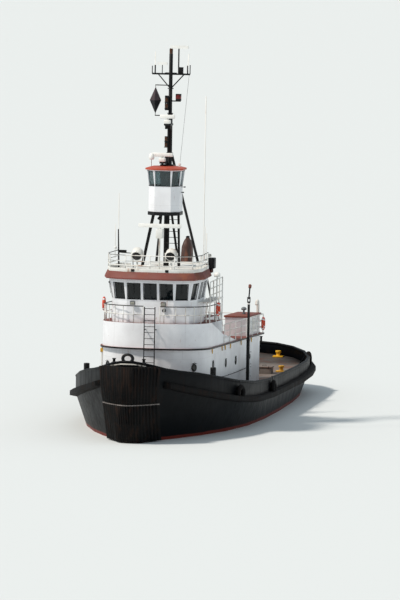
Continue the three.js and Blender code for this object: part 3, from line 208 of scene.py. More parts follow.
def plainSurface(name, look):  # plastic, rubber, cast metal or rope: a base colour that wears and dulls
    material, tree, shader = newMaterial(name, {"Metallic": look.get("metallic", 0.0),
                                                "Specular IOR Level": look.get("shine", 0.5)})
    place = addNode(tree, "ShaderNodeTexCoord").outputs["Object"]
    tall = addNode(tree, "ShaderNodeMapping", {"Scale": look.get("run", (1.0, 1.0, 1.0))}, {"Vector": place})
    spots = addNode(tree, "ShaderNodeTexNoise",
                    {"Scale": look.get("spot", 6.0), "Detail": 7.0, "Roughness": 0.65},
                    {"Vector": tall.outputs[0]})
    mask = addNode(tree, "ShaderNodeMapRange",
                   {"From Min": look.get("wearFrom", 0.42), "From Max": 0.72,
                    "To Max": look.get("wear", 0.6)},
                   {"Value": spots.outputs[0]})
    colour = addNode(tree, "ShaderNodeMix", {"data_type": "RGBA", 6: linear(look["colour"]),
                                             7: linear(look["worn"])}, {0: mask.outputs[0]})
    tree.links.new(colour.outputs[2], shader.inputs["Base Color"])
    smooth, rough = look["roughness"]
    gloss = addNode(tree, "ShaderNodeMapRange", {"From Min": 0.3, "From Max": 0.7, "To Min": smooth,
                                                 "To Max": rough}, {"Value": spots.outputs[0]})
    tree.links.new(gloss.outputs[0], shader.inputs["Roughness"])
    skin = addNode(tree, "ShaderNodeBump", {"Strength": look.get("bump", 0.3), "Distance": 0.004},
                   {"Height": spots.outputs[0]})
    tree.links.new(skin.outputs[0], shader.inputs["Normal"])
    return material


def makeGlass(name, tint, clear, shine=0.5):
    material, _, shader = newMaterial(name, {"Roughness": 0.04, "IOR": 1.45, "Transmission Weight": clear,
                                             "Specular IOR Level": shine})
    shader.inputs["Base Color"].default_value = linear(tint)
    return material


finishes = {
    # two-part gloss white on the houses: bright, a little lilac in shade, rust weeping down from edges
    "houseWhite": paintedSteel("houseWhite", {
        "colour": "#EEF0F4", "dirtColour": "#C9C8CC", "dirt": 0.45, "rustColour": "#9A5B33",
        "rust": (0.375, 0.46, 0.55), "chipColour": "#8A4A2A", "chip": 0.5, "roughness": (0.32, 0.5),
        "seams": (2.4, 1.9), "seamDark": 0.25, "dent": 0.14}),
    # white enamel on rails and small gear, yellowed and rust spotted
    "railWhite": paintedSteel("railWhite", {
        "colour": "#E7E8E6", "dirtColour": "#C7BFAE", "dirt": 0.5, "rustColour": "#8F5530",
        "rust": (0.33, 0.40, 0.7), "chipColour": "#7A3F22", "chip": 0.7, "chipSize": 11.0,
        "roughness": (0.4, 0.6), "dent": 0.0}),
    # black topsides: chalky black, rust runs, weld seams, dark red boot-topping at the waterline
    "hullBlack": paintedSteel("hullBlack", {
        "colour": "#040609", "dirtColour": "#0A0F14", "dirt": 0.5, "rustColour": "#24160F",
        "rust": (0.30, 0.42, 0.4), "chipColour": "#1E2022", "chip": 0.2, "chipSize": 5.0,
        "roughness": (0.34, 0.55), "shine": 0.07, "seams": (4.2, 1.3), "seamDark": 0.5, "dent": 0.4,
        "below": {"height": 0.22, "wander": 0.1, "colour": "#6B2A22"}}),
    # black enamel on the tower and mast
    "mastBlack": paintedSteel("mastBlack", {
        "colour": "#0A0B0E", "dirtColour": "#1A1C20", "dirt": 0.5, "rustColour": "#3A2218",
        "rust": (0.33, 0.42, 0.5), "chipColour": "#45433F", "chip": 0.3, "chipSize": 9.0,
        "roughness": (0.35, 0.55), "shine": 0.25, "dent": 0.0}),
    # red oxide deck paint, matt and grimy
    "deckOxide": paintedSteel("deckOxide", {
        "colour": "#7B3B33", "dirtColour": "#5B423C", "dirt": 0.6, "rustColour": "#94563A",
        "rust": (0.26, 0.4, 0.5), "chipColour": "#A88B7B", "chip": 0.35, "roughness": (0.55, 0.8),
        "run": (2.0, 2.0, 2.0), "dent": 0.2}),
    # working deck aft: grey-brown non-slip paint worn to primer
    "deckGrey": paintedSteel("deckGrey", {
        "colour": "#766C66", "dirtColour": "#4B443F", "dirt": 0.8, "rustColour": "#7A4A35",
        "rust": (0.24, 0.36, 0.6), "chipColour": "#4A423D", "chip": 0.5, "chipSize": 4.0,
        "roughness": (0.6, 0.85), "run": (2.0, 2.0, 2.0), "grain": 0.008}),
    # orange-red enamel on the upper roof
    "roofOrange": paintedSteel("roofOrange", {
        "colour": "#B9492F", "dirtColour": "#93402D", "dirt": 0.6, "rustColour": "#7A3A25",
        "rust": (0.3, 0.42, 0.5), "chipColour": "#D9A58F", "chip": 0.3, "roughness": (0.4, 0.65),
        "run": (2.0, 2.0, 2.0), "dent": 0.0}),
    # heat-stained brown paint on the exhausts
    "stackBrown": paintedSteel("stackBrown", {
        "colour": "#4A2C22", "dirtColour": "#17110F", "dirt": 0.85, "rustColour": "#8A4A2C",
        "rust": (0.26, 0.38, 0.6), "chipColour": "#8C7B70", "chip": 0.4, "roughness": (0.45, 0.75),
        "dent": 0.0}),
    # dull red antifouling, softened by weed at its edges
    "bottomRed": paintedSteel("bottomRed", {
        "colour": "#6B2A22", "dirtColour": "#3E2A22", "dirt": 0.7, "rustColour": "#3C4A2C",
        "rust": (0.26, 0.4, 0.4), "chipColour": "#8C7B70", "chip": 0.3, "roughness": (0.6, 0.8),
        "dent": 0.1}),
    # thick yellow enamel on the bollards, rubbed to rust
    "signalYellow": paintedSteel("signalYellow", {
        "colour": "#E0A91C", "dirtColour": "#A67B1E", "dirt": 0.6, "rustColour": "#6E3F22",
        "rust": (0.28, 0.38, 0.6), "chipColour": "#4A2C1C", "chip": 0.7, "chipSize": 10.0,
        "roughness": (0.4, 0.6), "dent": 0.0}),
    # grey machinery enamel with oily dirt
    "machineGrey": paintedSteel("machineGrey", {
        "colour": "#6E7478", "dirtColour": "#3C3E40", "dirt": 0.7, "rustColour": "#6A3E28",
        "rust": (0.28, 0.38, 0.6), "chipColour": "#9A9A96", "chip": 0.5, "roughness": (0.4, 0.6),
        "dent": 0.0}),
    # tyre and extruded fender rubber: matt black, scuffed brown in vertical runs
    "fenderRubber": plainSurface("fenderRubber", {
        "colour": "#09090A", "worn": "#35241C", "wearFrom": 0.5, "wear": 0.6, "shine": 0.14,
        "roughness": (0.6, 0.9), "run": (2.6, 2.6, 0.35), "spot": 2.2, "bump": 0.8}),
    # moulded rubber of window frames and wipers, and dark leatherette inside
    "gasketBlack": plainSurface("gasketBlack", {
        "colour": "#0C0D0F", "worn": "#202123", "roughness": (0.45, 0.65), "shine": 0.25}),
    # gloss gelcoat on glass fibre: smooth, with faint yellow patches
    "radomeWhite": plainSurface("radomeWhite", {
        "colour": "#F4F4F1", "worn": "#CFCDC5", "wear": 0.5, "roughness": (0.25, 0.4), "spot": 3.0,
        "bump": 0.05}),
    # moulded orange plastic of the life rings, faded in spots
    "lifeOrange": plainSurface("lifeOrange", {
        "colour": "#D8421E", "worn": "#B5532F", "roughness": (0.35, 0.5), "spot": 9.0, "bump": 0.1}),
    # reflective tape and white polyester line
    "tapeWhite": plainSurface("tapeWhite", {
        "colour": "#E8E9EA", "worn": "#B9BBBC", "roughness": (0.3, 0.5), "spot": 12.0, "bump": 0.1}),
    # cast propeller bronze, dulled green
    "castBronze": plainSurface("castBronze", {
        "colour": "#A27A3E", "worn": "#5E5B38", "metallic": 0.9, "roughness": (0.3, 0.55), "spot": 5.0}),
    # cast zinc blocks, pitted and stained
    "castZinc": plainSurface("castZinc", {
        "colour": "#8E9294", "worn": "#5E4A3C", "metallic": 0.8, "roughness": (0.3, 0.6), "spot": 14.0}),
    # laid polypropylene tow rope, tan and dirty in its grooves
    "ropeTan": plainSurface("ropeTan", {
        "colour": "#B89A6C", "worn": "#7A603E", "roughness": (0.8, 0.95), "spot": 30.0, "bump": 1.0}),
    # pale grey-white over black on the strip at the top of the bow, broken by black speckles and runs
    "speckledWhite": paintedSteel("speckledWhite", {
        "colour": "#C9C5BE", "dirtColour": "#4A4644", "dirt": 0.9, "rustColour": "#17181B",
        "rust": (0.22, 0.3, 0.9), "chipColour": "#131417", "chip": 1.0, "chipSize": 4.0,
        "roughness": (0.5, 0.7), "dent": 0.0}),
    # galvanised shelf between the fender blocks, stained by the rubber
    "stainedSteel": plainSurface("stainedSteel", {
        "colour": "#77706D", "worn": "#2B2422", "wear": 0.8, "roughness": (0.5, 0.7), "spot": 2.0}),
    # sun-bleached black canvas on the upper cone of the day shape
    "canvasGrey": plainSurface("canvasGrey", {
        "colour": "#4D4246", "worn": "#3A3337", "roughness": (0.7, 0.9), "spot": 5.0, "shine": 0.2}),
    # float glass: tinted near black in the wheelhouse, painted shade standing in for the dim room behind it;
    # clearer above; lamp glasses in their colours
    "windowGlass": makeGlass("windowGlass", "#182023", 0.45, 0.3),
    "clearGlass": makeGlass("clearGlass", "#8FA3A6", 0.95, 0.3),
    # opaque black glass in portholes, door lights and searchlights: painted shade of the dark insides behind
    # them
    "lensBlack": makeGlass("lensBlack", "#0E1114", 0.0),
    "lampRed": makeGlass("lampRed", "#6E120E", 0.2),
    "lampAmber": makeGlass("lampAmber", "#4A2A12", 0.2),
    "lampGreen": makeGlass("lampGreen", "#1F8A4B", 0.3),
    "lampWhite": makeGlass("lampWhite", "#E6E4D8", 0.5),
}
print("materials made,", len(finishes))

nodeSlot = {row["node"]: row["material_slot"] for row in frame["record"]["subparts"]}
nodeBody = {node: body for body, nodes in frame["record"]["behaviour"]["bodies"].items() for node in nodes}


# Turns a finished bmesh into a piece at the origin that rides on a body
def place(bm, name, finishNames, body, slot, sharp, stands=()):
    mesh = bpy.data.meshes.new(name)
    bm.to_mesh(mesh)
    bm.free()
    for finish in finishNames:
        mesh.materials.append(finishes[finish])
    mesh.shade_smooth()
    mesh.set_sharp_from_angle(angle=math.radians(sharp))
    piece = bpy.data.objects.new(name, mesh)
    bpy.context.scene.collection.objects.link(piece)
    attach(piece, body)
    if stands:
        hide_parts(*stands)
    return piece


# A merged copy of a CAD node with softened edges, so that light catches them, and its paints
def dress(node, finishNames, rule, edge, sharp):
    bm = bmesh.new()
    bm.from_mesh(frame["nodes"][node].data)
    bmesh.ops.remove_doubles(bm, verts=bm.verts, dist=0.0002)
    bmesh.ops.dissolve_limit(bm, angle_limit=math.radians(0.6), verts=bm.verts, edges=bm.edges,
                             delimit={"NORMAL"})
    if edge:
        corners = [e for e in bm.edges if e.is_manifold and e.calc_face_angle(0.0) > math.radians(38)]
        bmesh.ops.bevel(bm, geom=corners, offset=edge, offset_type="OFFSET", segments=2, profile=0.5,
                        affect="EDGES", clamp_overlap=True, material=-1)
    if rule:
        for face in bm.faces:
            face.material_index = rule(face.calc_center_median(), face.normal)
    bmesh.ops.triangulate(bm, faces=[f for f in bm.faces if len(f.verts) > 4])
    return place(bm, node + "_finished", finishNames, nodeBody[node], nodeSlot[node], sharp, (node,))


# Shapes. Each helper adds one closed form to a bmesh, or one for each stretch; places and sizes are in metres
def standing(centre, axis):  # a matrix that turns local Z along an axis
    return Matrix.Translation(centre) @ Vector(axis).to_track_quat("Z", "Y").to_matrix().to_4x4()


def absorb(bm, own):  # adds a finished bmesh to another one
    mesh = bpy.data.meshes.new("part")
    own.to_mesh(mesh)
    own.free()
    bm.from_mesh(mesh)
    bpy.data.meshes.remove(mesh)


def rod(bm, start, end, radius, sides=8, tip=None):
    start, end = Vector(start), Vector(end)
    bmesh.ops.create_cone(bm, cap_ends=True, segments=sides, radius1=radius,
                          radius2=radius if tip is None else tip, depth=(end - start).length,
                          matrix=standing((start + end) / 2, end - start))


def bentRod(bm, points, radius, sides=8):
    for start, end in zip(points, points[1:]):
        rod(bm, start, end, radius, sides)
    for point in points[1:-1]:
        bmesh.ops.create_icosphere(bm, subdivisions=2, radius=radius * 1.03, matrix=Matrix.Translation(point))


def box(bm, centre, size, turn=0.0, soft=0.0, tilt=0.0):
    own = bmesh.new()
    bmesh.ops.create_cube(own, size=1.0, matrix=Matrix.Diagonal((*size, 1)))
    if soft:
        bmesh.ops.bevel(own, geom=own.edges[:], offset=soft, offset_type="OFFSET", segments=2, profile=0.5,
                        affect="EDGES", clamp_overlap=True, material=-1)
    spot = Matrix.Translation(centre) @ Matrix.Rotation(math.radians(turn), 4, "Z") @ Matrix.Rotation(
        math.radians(tilt), 4, "X")
    bmesh.ops.transform(own, matrix=spot, verts=own.verts)
    absorb(bm, own)


def turned(bm, profile, centre, axis=(0, 0, 1), steps=24):  # profile of (radius, height) from axis to axis
    own = bmesh.new()
    verts = [own.verts.new((radius, 0, height)) for radius, height in profile]
    edges = [own.edges.new(pair) for pair in zip(verts, verts[1:])]
    bmesh.ops.spin(own, geom=verts + edges, cent=(0, 0, 0), axis=(0, 0, 1), angle=2 * math.pi, steps=steps,
                   use_merge=True)
    bmesh.ops.remove_doubles(own, verts=own.verts, dist=0.00005)
    bmesh.ops.recalc_face_normals(own, faces=own.faces)
    bmesh.ops.transform(own, matrix=standing(centre, axis), verts=own.verts)
    absorb(bm, own)


def hoop(bm, centre, axis, radius, thick, steps=28, sides=8, stretch=1.0, deep=1.0):
    own = bmesh.new()
    bmesh.ops.create_circle(own, segments=sides, radius=thick, matrix=Matrix.Translation((radius, 0, 0))
                            @ Matrix.Rotation(math.pi / 2, 4, "X") @ Matrix.Diagonal((1, deep, 1, 1)))
    bmesh.ops.spin(own, geom=own.verts[:] + own.edges[:], cent=(0, 0, 0), axis=(0, 0, 1), angle=2 * math.pi,
                   steps=steps, use_merge=True)
    bmesh.ops.recalc_face_normals(own, faces=own.faces)
    bmesh.ops.transform(own, matrix=standing(centre, axis) @ Matrix.Diagonal((1, stretch, 1, 1)),
                        verts=own.verts)
    absorb(bm, own)


def sweep(bm, path, radius, sides=8, closed=False):  # a round section along points
    own = bmesh.new()
    path = [Vector(point) for point in path]
    count = len(path)
    rings = []
    for i, point in enumerate(path):
        before = path[i - 1] if closed or i else point
        after = path[(i + 1) % count] if closed or i + 1 < count else point
        made = bmesh.ops.create_circle(own, segments=sides, radius=radius,
                                       matrix=standing(point, after - before))
        rings.append(made["verts"])
    pairs = list(zip(rings, rings[1:])) + ([(rings[-1], rings[0])] if closed else [])
    for near, far in pairs:
        ringEdges = [{e for v in ring for e in v.link_edges if all(u in ring for u in e.verts)}
                     for ring in (near, far)]
        bmesh.ops.bridge_loops(own, edges=list(ringEdges[0] | ringEdges[1]))
    bmesh.ops.holes_fill(own, edges=own.edges[:], sides=sides)
    bmesh.ops.recalc_face_normals(own, faces=own.faces)
    absorb(bm, own)


# Finding the CAD surfaces that the small pieces stand on
surfaces = {}


def hit(node, start, direction):
    if node not in surfaces:
        mesh = frame["nodes"][node].data
        corners = [v.co for v in mesh.vertices]
        surfaces[node] = BVHTree.FromPolygons(corners, [p.vertices[:] for p in mesh.polygons])
    return surfaces[node].ray_cast(Vector(start), Vector(direction).normalized())[0]


def sideOf(node, y, z, side):  # the outer side of a node, seen from port (1) or starboard (-1)
    return hit(node, (side * 9.0, y, z), (-side, 0, 0))


def topOf(node, x, y):
    return hit(node, (x, y, 30.0), (0, 0, -1))


def bulwarkLine(inward, drop):  # the bulwark's top edge round from the stern, moved in and down
    bm = bmesh.new()
    bm.from_mesh(frame["nodes"]["bulwark"].data)
    bmesh.ops.remove_doubles(bm, verts=bm.verts, dist=0.0005)
    tops = {v for f in bm.faces if f.normal.z > 0.6 for v in f.verts}
    line = []
    for v in tops:
        outward = [f.normal for f in v.link_faces if abs(f.normal.z) < 0.6 and f.normal.xy.dot(v.co.xy) > 0]
        if outward:
            away = sum(outward, Vector()).normalized()
            line.append(v.co - Vector((away.x, away.y, 0)) * inward - Vector((0, 0, drop)))
    bm.free()
    return sorted(line, key=lambda point: math.atan2(point.x, -point.y))


def flatUp(level):  # 1 for faces that look up above a height, else 0
    return lambda centre, normal: int(normal.z > 0.8 and centre.z > level)


mastGear = {"x": 0.02, "y": -6.35, "yardZ": 18.06, "lamps": ((-0.15, 14.58), (-0.16, 16.58)),
            "rightLamp": (0.425, 16.79), "head": 19.1, "whips": (-0.8, 0.89), "flanges": (13.9, 16.02, 17.3),
            "wire": ((0.98, -6.35, 18.06), (0.55, -6.3, 13.32))}


def topRail(centre, normal):  # the raised deck's top rail is black, the rest white
    return int(centre.z > boatDeckAt(centre.y) + raisedRise + 0.835)


def fanHouseTop(centre, normal):
    return int(centre.z > boatDeckAt(centre.y) + 0.985)


def mastPaint(centre, normal):  # the top bar, the T aerial and the whips are white
    whip = centre.z > 18.2 and (-0.85 < centre.x < -0.75 or 0.85 < centre.x < 0.97)
    aerial = 18.51 < centre.z < 18.7 and -0.7 < centre.x < -0.15
    return int(centre.z > 19.36 or whip or aerial)


makeCamera()
makeStudio()

# How each CAD node is finished: paints, which faces take the second one, edge softening
dressing = {
    "hull": (["hullBlack", "deckGrey"], flatUp(0.6), 0.0, 30.0),
    "bulwark": (["hullBlack"], None, 0.012, 30.0),
    "rub_rail": (["fenderRubber"], None, 0.03, 40.0),
    "bow_fender_upper": (["fenderRubber"], None, 0.0, 25.0),
    "bow_fender_lower": (["fenderRubber"], None, 0.0, 25.0),
    "deckhouse": (["houseWhite"], None, 0.0, 30.0),
    "boat_deck": (["mastBlack", "deckOxide", "houseWhite"],
                  lambda c, n: 1 if n.z > 0.8 else 2 if n.z < -0.8 else 0, 0.0, 30.0),
    "raised_deck": (["houseWhite", "deckOxide"], lambda c, n: int(n.z > 0.9 and abs(c.x) < 2.69), 0.0, 30.0),
    "raised_deck_rail_port": (["railWhite", "mastBlack"], topRail, 0.0, 60.0),
    "raised_deck_rail_starboard": (["railWhite", "mastBlack"], topRail, 0.0, 60.0),
    "roof_rail": (["railWhite", "mastBlack"], lambda c, n: int(9.0 < c.z < 9.06 and abs(c.y + 8.9) < 1.95),
                  0.0, 60.0),
    "wheelhouse": (["houseWhite"], None, 0.0, 20.0),
    "wheelhouse_roof": (["deckOxide", "railWhite"], lambda c, n: int(c.z > 8.22 or (n.z > 0.9 and c.z > 8.1)),
                        0.0, 30.0),
    "roof_coaming": (["railWhite"], None, 0.006, 30.0),
    "tower_frame": (["mastBlack"], None, 0.0, 40.0),
    "conning_house": (["houseWhite"], None, 0.0, 20.0),
    "conning_roof": (["roofOrange"], None, 0.02, 20.0),
    "mast": (["mastBlack", "radomeWhite"], mastPaint, 0.0, 40.0),
    "day_shape": (["mastBlack", "canvasGrey"], lambda c, n: int(c.z > 16.7), 0.0, 20.0),
    "exhaust_stack": (["stackBrown"], None, 0.0, 40.0),
    "fan_house_port": (["houseWhite", "deckOxide"], fanHouseTop, 0.012, 30.0),
    "fan_house_starboard": (["houseWhite", "deckOxide"], fanHouseTop, 0.012, 30.0),
    "crane_post": (["mastBlack"], None, 0.0, 40.0),
    "crane_boom": (["mastBlack"], None, 0.0, 40.0),
    "winch_frame": (["mastBlack"], None, 0.012, 30.0),
    "winch_drum": (["machineGrey"], None, 0.0, 40.0),
    "towing_bitts": (["mastBlack"], None, 0.012, 40.0),
    "bollard_bow": (["mastBlack"], None, 0.012, 40.0),
    "bollard_quarter_port": (["signalYellow"], None, 0.012, 40.0),
    "bollard_quarter_starboard": (["signalYellow"], None, 0.012, 40.0),
    "bollard_after_port": (["signalYellow"], None, 0.012, 40.0),
    "bollard_after_starboard": (["signalYellow"], None, 0.012, 40.0),
    "life_ring_port": (["lifeOrange"], None, 0.0, 60.0),
    "life_ring_starboard": (["lifeOrange"], None, 0.0, 60.0),
    "satellite_dome": (["radomeWhite"], None, 0.0, 50.0),
    "radar_pedestal": (["railWhite"], None, 0.012, 40.0),
    "radar_gearbox_middle": (["radomeWhite"], None, 0.03, 40.0),
    "radar_gearbox_high": (["radomeWhite"], None, 0.03, 40.0),
    "radar_scanner_low": (["radomeWhite"], None, 0.03, 40.0),
    "radar_scanner_middle": (["radomeWhite"], None, 0.03, 40.0),
    "radar_scanner_high": (["radomeWhite"], None, 0.03, 40.0),
    "searchlight_port": (["railWhite"], None, 0.008, 40.0),
    "searchlight_starboard": (["railWhite"], None, 0.008, 40.0),
    "propeller_port": (["castBronze"], None, 0.006, 40.0),
    "propeller_starboard": (["castBronze"], None, 0.006, 40.0),
    "rudder_port": (["bottomRed"], None, 0.01, 30.0),
    "rudder_starboard": (["bottomRed"], None, 0.01, 30.0),
}
for node, (paints, rule, edge, sharp) in dressing.items():
    dress(node, paints, rule, edge, sharp)
plainNodes = {  # these keep their CAD mesh and only take a paint
    "railWhite": ["boat_deck_rail", "walkway_port", "stairs_port", "stairs_starboard"],
    "mastBlack": ["front_ladder"],
    "houseWhite": ["deckhouse_door_port", "deckhouse_door_starboard", "deckhouse_door_aft",
                   "wheelhouse_door_port", "wheelhouse_door_starboard", "conning_door"],
    "windowGlass": ["wheelhouse_glazing"],
    "clearGlass": ["conning_glazing"],
}
for finish, nodes in plainNodes.items():
    for node in nodes:
        mesh = frame["nodes"][node].data
        mesh.materials.clear()
        mesh.materials.append(finishes[finish])
print("CAD nodes finished")

# Hull: rounded cap on the bulwark, a pale strip under it across the bow, stiffeners inside it
hullTrim = {"capRadius": 0.085, "capIn": 0.055, "capDrop": 0.02, "stripFrom": -1.6, "stripTo": 1.26,
            "stripOut": 0.03, "stripDrop": 0.11, "stripRadius": 0.035, "stripAbaft": -14.0,
            "stiffenerStart": 6.0, "stiffenerStep": 1.25, "stiffenerEnd": 31.0, "shelfThick": 0.05}


def makeBulwarkCap():
    bm = bmesh.new()
    sweep(bm, bulwarkLine(hullTrim["capIn"], hullTrim["capDrop"]), hullTrim["capRadius"], 12, closed=True)
    place(bm, "bulwark_cap", ["hullBlack"], "boat", "black_paint", 50.0)
    strip = [p for p in bulwarkLine(-hullTrim["stripOut"], hullTrim["stripDrop"])
             if hullTrim["stripFrom"] < p.x < hullTrim["stripTo"] and p.y < hullTrim["stripAbaft"]]
    bm = bmesh.new()
    sweep(bm, strip, hullTrim["stripRadius"], 6)
    place(bm, "bow_strip", ["speckledWhite"], "boat", "white_paint", 50.0)


def makeStiffeners():  # slanted plates from the deck to the inside of the bulwark
    bm = bmesh.new()
    distance = hullTrim["stiffenerStart"]
    while distance < hullTrim["stiffenerEnd"]:
        for side in (-1, 1):
            y = aft(distance)
            outer = sideOf("bulwark", y, topOf("hull", 0, y).z + 0.35, side)
            foot = topOf("hull", side * 0.1, y).z
            head = Vector((outer.x - side * 0.15, y, foot + 0.5))
            rod(bm, (outer.x - side * 0.5, y, foot), head, 0.035, 4)
        distance += hullTrim["stiffenerStep"]
    place(bm, "bulwark_stiffeners", ["hullBlack"], "boat", "black_paint", 40.0)


# Fairleads and posts on the bow: a closed chock on the stem, rollers beside it, a shoulder post each side
bowGear = {"chock": (0.0, -16.42, 4.3), "chockWide": 0.25, "rollerX": 0.74, "rollerRadius": 0.11,
           "postDistance": 5.9, "postTop": 3.42, "postRadius": 0.15}


def makeBowGear():
    bm = bmesh.new()
    hoop(bm, bowGear["chock"], (0, 1, 0), bowGear["chockWide"], 0.085, stretch=0.8)
    box(bm, (0, -16.4, 4.14), (0.5, 0.16, 0.08), soft=0.02)
    for side in (-1, 1):
        x = side * bowGear["rollerX"]
        ground = topOf("bulwark", x * 1.02, hit("bulwark", (x, -20, 3.7), (0, 1, 0)).y + 0.06)
        base = ground or Vector((x, -16.0, 4.0))
        turned(bm, [(0, 0), (bowGear["rollerRadius"] + 0.03, 0), (bowGear["rollerRadius"] + 0.03, 0.04),
                    (0.07, 0.09), (0.07, 0.19), (bowGear["rollerRadius"], 0.25), (0, 0.25)], base)
        y = aft(bowGear["postDistance"])
        wall = sideOf("bulwark", y, 2.7, side)
        x = wall.x - side * 0.4
        top = bowGear["postTop"]
        rod(bm, (x, y, 2.0), (x, y, top), bowGear["postRadius"], 14)
        turned(bm, [(0, 0), (bowGear["postRadius"], 0), (bowGear["postRadius"] - 0.02, 0.03), (0, 0.035)],
               (x, y, top - 0.005), steps=20)
        rod(bm, (x, y - 0.28, top - 0.3), (x, y + 0.28, top - 0.3), 0.05, 10)
    place(bm, "bow_fairleads", ["mastBlack"], "boat", "black_paint", 40.0)


# Old tyres hung outside the bulwark on short chains: two to port, one on each quarter
hungFenders = {"port": (7.9, 15.2), "radius": 0.29, "thick": 0.12, "drop": 0.6, "quarter": 29.9,
               "quarterZ": 1.78}


def makeHungFenders():
    rubber, chains = bmesh.new(), bmesh.new()
    for side in (-1, 1):
        for distance in hungFenders["port"] if side == 1 else ():
            y = aft(distance)
            deck = topOf("hull", 0, y).z
            wall = sideOf("bulwark", y, deck + 0.5, side)
            ahead = sideOf("bulwark", y - 0.4, topOf("hull", 0, y - 0.4).z + 0.5, side)
            along = (wall - ahead).normalized()
            out = Vector((side * along.y, -side * along.x, 0)).normalized()
            top = deck + 0.9
            centre = Vector((wall.x, y, top - hungFenders["drop"])) + out * 0.14
            hoop(rubber, centre, out, hungFenders["radius"], hungFenders["thick"], 32, 12)
            rod(chains, centre + Vector((0, 0, 0.28)), Vector((wall.x, y, top + 0.02)) + out * 0.04, 0.018, 6)
        y = aft(hungFenders["quarter"])
        rail = sideOf("rub_rail", y, 1.5, side)
        out = Vector((side * 0.9, 0.4, 0)).normalized()
        hoop(rubber, Vector((rail.x, y, hungFenders["quarterZ"])) - out * 0.3, out,
             hungFenders["radius"], hungFenders["thick"], 32, 12)
    place(rubber, "hung_fenders", ["fenderRubber"], "boat", "rubber", 60.0)
    place(chains, "fender_chains", ["mastBlack"], "boat", "black_paint", 60.0)


# Decks: hatches, mushroom vents forward, roller fairleads in the stern
deckGear = {"hatches": ((-2.4, 26.2), (2.4, 26.2), (0.0, 3.9)), "hatch": (0.86, 0.7, 0.34),
            "vents": ((-1.9, 4.6), (1.9, 4.6)), "stern": 0.8}


def makeDeckGear():
    steel, dark = bmesh.new(), bmesh.new()
    for x, distance in deckGear["hatches"]:
        y = aft(distance)
        ground = topOf("hull", x, y).z
        wide, long, high = deckGear["hatch"]
        box(steel, (x, y, ground + high / 2 - 0.02), (wide, long, high + 0.04), soft=0.02)
        box(steel, (x, y, ground + high + 0.02), (wide + 0.08, long + 0.08, 0.05), soft=0.015)
        for corner in (-1, 1):
            rod(dark, (x + corner * wide * 0.35, y - long / 2 - 0.05, ground + high - 0.06),
                (x + corner * wide * 0.35, y - long / 2 - 0.05, ground + high + 0.09), 0.014)
        bentRod(dark, [(x - 0.1, y, ground + high + 0.04), (x - 0.1, y, ground + high + 0.1),
                       (x + 0.1, y, ground + high + 0.1), (x + 0.1, y, ground + high + 0.04)], 0.01)
    for x, distance in deckGear["vents"]:
        ground = topOf("hull", x, aft(distance))
        turned(steel, [(0, -0.02), (0.09, -0.02), (0.09, 0.38), (0.2, 0.36), (0.21, 0.42), (0.14, 0.5),
                       (0, 0.53)], ground, steps=20)
    place(steel, "deck_hatches_vents", ["deckGrey"], "boat", "grey_paint", 40.0)
    y = hit("bulwark", (0, 20, 2.1), (0, -1, 0)).y - 0.05
    for x in (-deckGear["stern"], deckGear["stern"]):
        for shift in (-0.22, 0.22):
            turned(dark, [(0, 0), (0.1, 0), (0.06, 0.08), (0.06, 0.26), (0.1, 0.32), (0, 0.34)],
                   (x + shift, y, 2.32), steps=16)
    place(dark, "deck_dogs_rollers", ["mastBlack"], "boat", "black_paint", 40.0)


def makeFenderShelf():  # a steel shelf on top of the lower fender block, a copy of that block's top face
    bm = bmesh.new()
    bm.from_mesh(frame["nodes"]["bow_fender_lower"].data)
    bmesh.ops.remove_doubles(bm, verts=bm.verts, dist=0.0005)
    rest = [f for f in bm.faces if f.normal.z < 0.8 or f.calc_center_median().z < 1.9]
    bmesh.ops.delete(bm, geom=rest, context="FACES")
    raised = bmesh.ops.extrude_face_region(bm, geom=bm.faces[:])["geom"]
    bmesh.ops.translate(bm, vec=(0, 0, hullTrim["shelfThick"]),
                        verts=[v for v in raised if isinstance(v, bmesh.types.BMVert)])
    bmesh.ops.recalc_face_normals(bm, faces=bm.faces)
    place(bm, "fender_shelf", ["stainedSteel"], "boat", "grey_paint", 40.0)


makeBulwarkCap()
makeFenderShelf()
makeStiffeners()
makeBowGear()
makeHungFenders()
makeDeckGear()
print("hull and deck fittings made")

# Deckhouse: portholes, storm rails, door fittings, drain spouts under the boat deck, a pipe forward
houseGear = {  # portholes: turn of the wall, x, y, z, radius; rail posts and spouts: y; pipe: x, y
    "portholes": ((52.0, 2.23, -10.36, 3.37, 0.14), (90.0, 2.75, -7.86, 3.3, 0.16),
                  (90.0, 2.75, -4.2, 3.07, 0.16), (90.0, 2.75, -1.29, 2.95, 0.16)),
    "rimThick": 0.03, "railRise": 1.05, "railPosts": (-8.5, -6.8, -5.1, -3.4, -1.7, 0.0, 1.9),
    "spouts": (-8.3, -5.5, -4.6, -3.05, 0.08, 3.2), "pipe": (-2.77, -9.2)}


def makePortholes():
    rims, lights = bmesh.new(), bmesh.new()
    for side in (-1, 1):
        for turn, x, y, z, radius in houseGear["portholes"]:
            out = Vector((side * math.sin(math.radians(turn)), -math.cos(math.radians(turn)), 0))
            centre = hit("deckhouse", Vector((side * x, y, z)) + out * 2, -out)
            hoop(rims, centre + out * 0.012, out, radius, houseGear["rimThick"], 28, 8, stretch=1.2)
            turned(lights, [(0, 0), (radius, 0), (radius, 0.02), (0, 0.024)], centre, out, 28)
            brow = centre + Vector((0, 0, 0.24)) + out * 0.03
            across = Vector((0, 0, 1)).cross(out) * 0.17
            drop = Vector((0, 0, 0.05))
            bentRod(rims, [brow - across - drop, brow, brow + across - drop], 0.012)
    place(rims, "porthole_rims", ["mastBlack"], "boat", "black_paint", 50.0)
    place(lights, "porthole_lights", ["lensBlack"], "boat", "glass", 50.0)


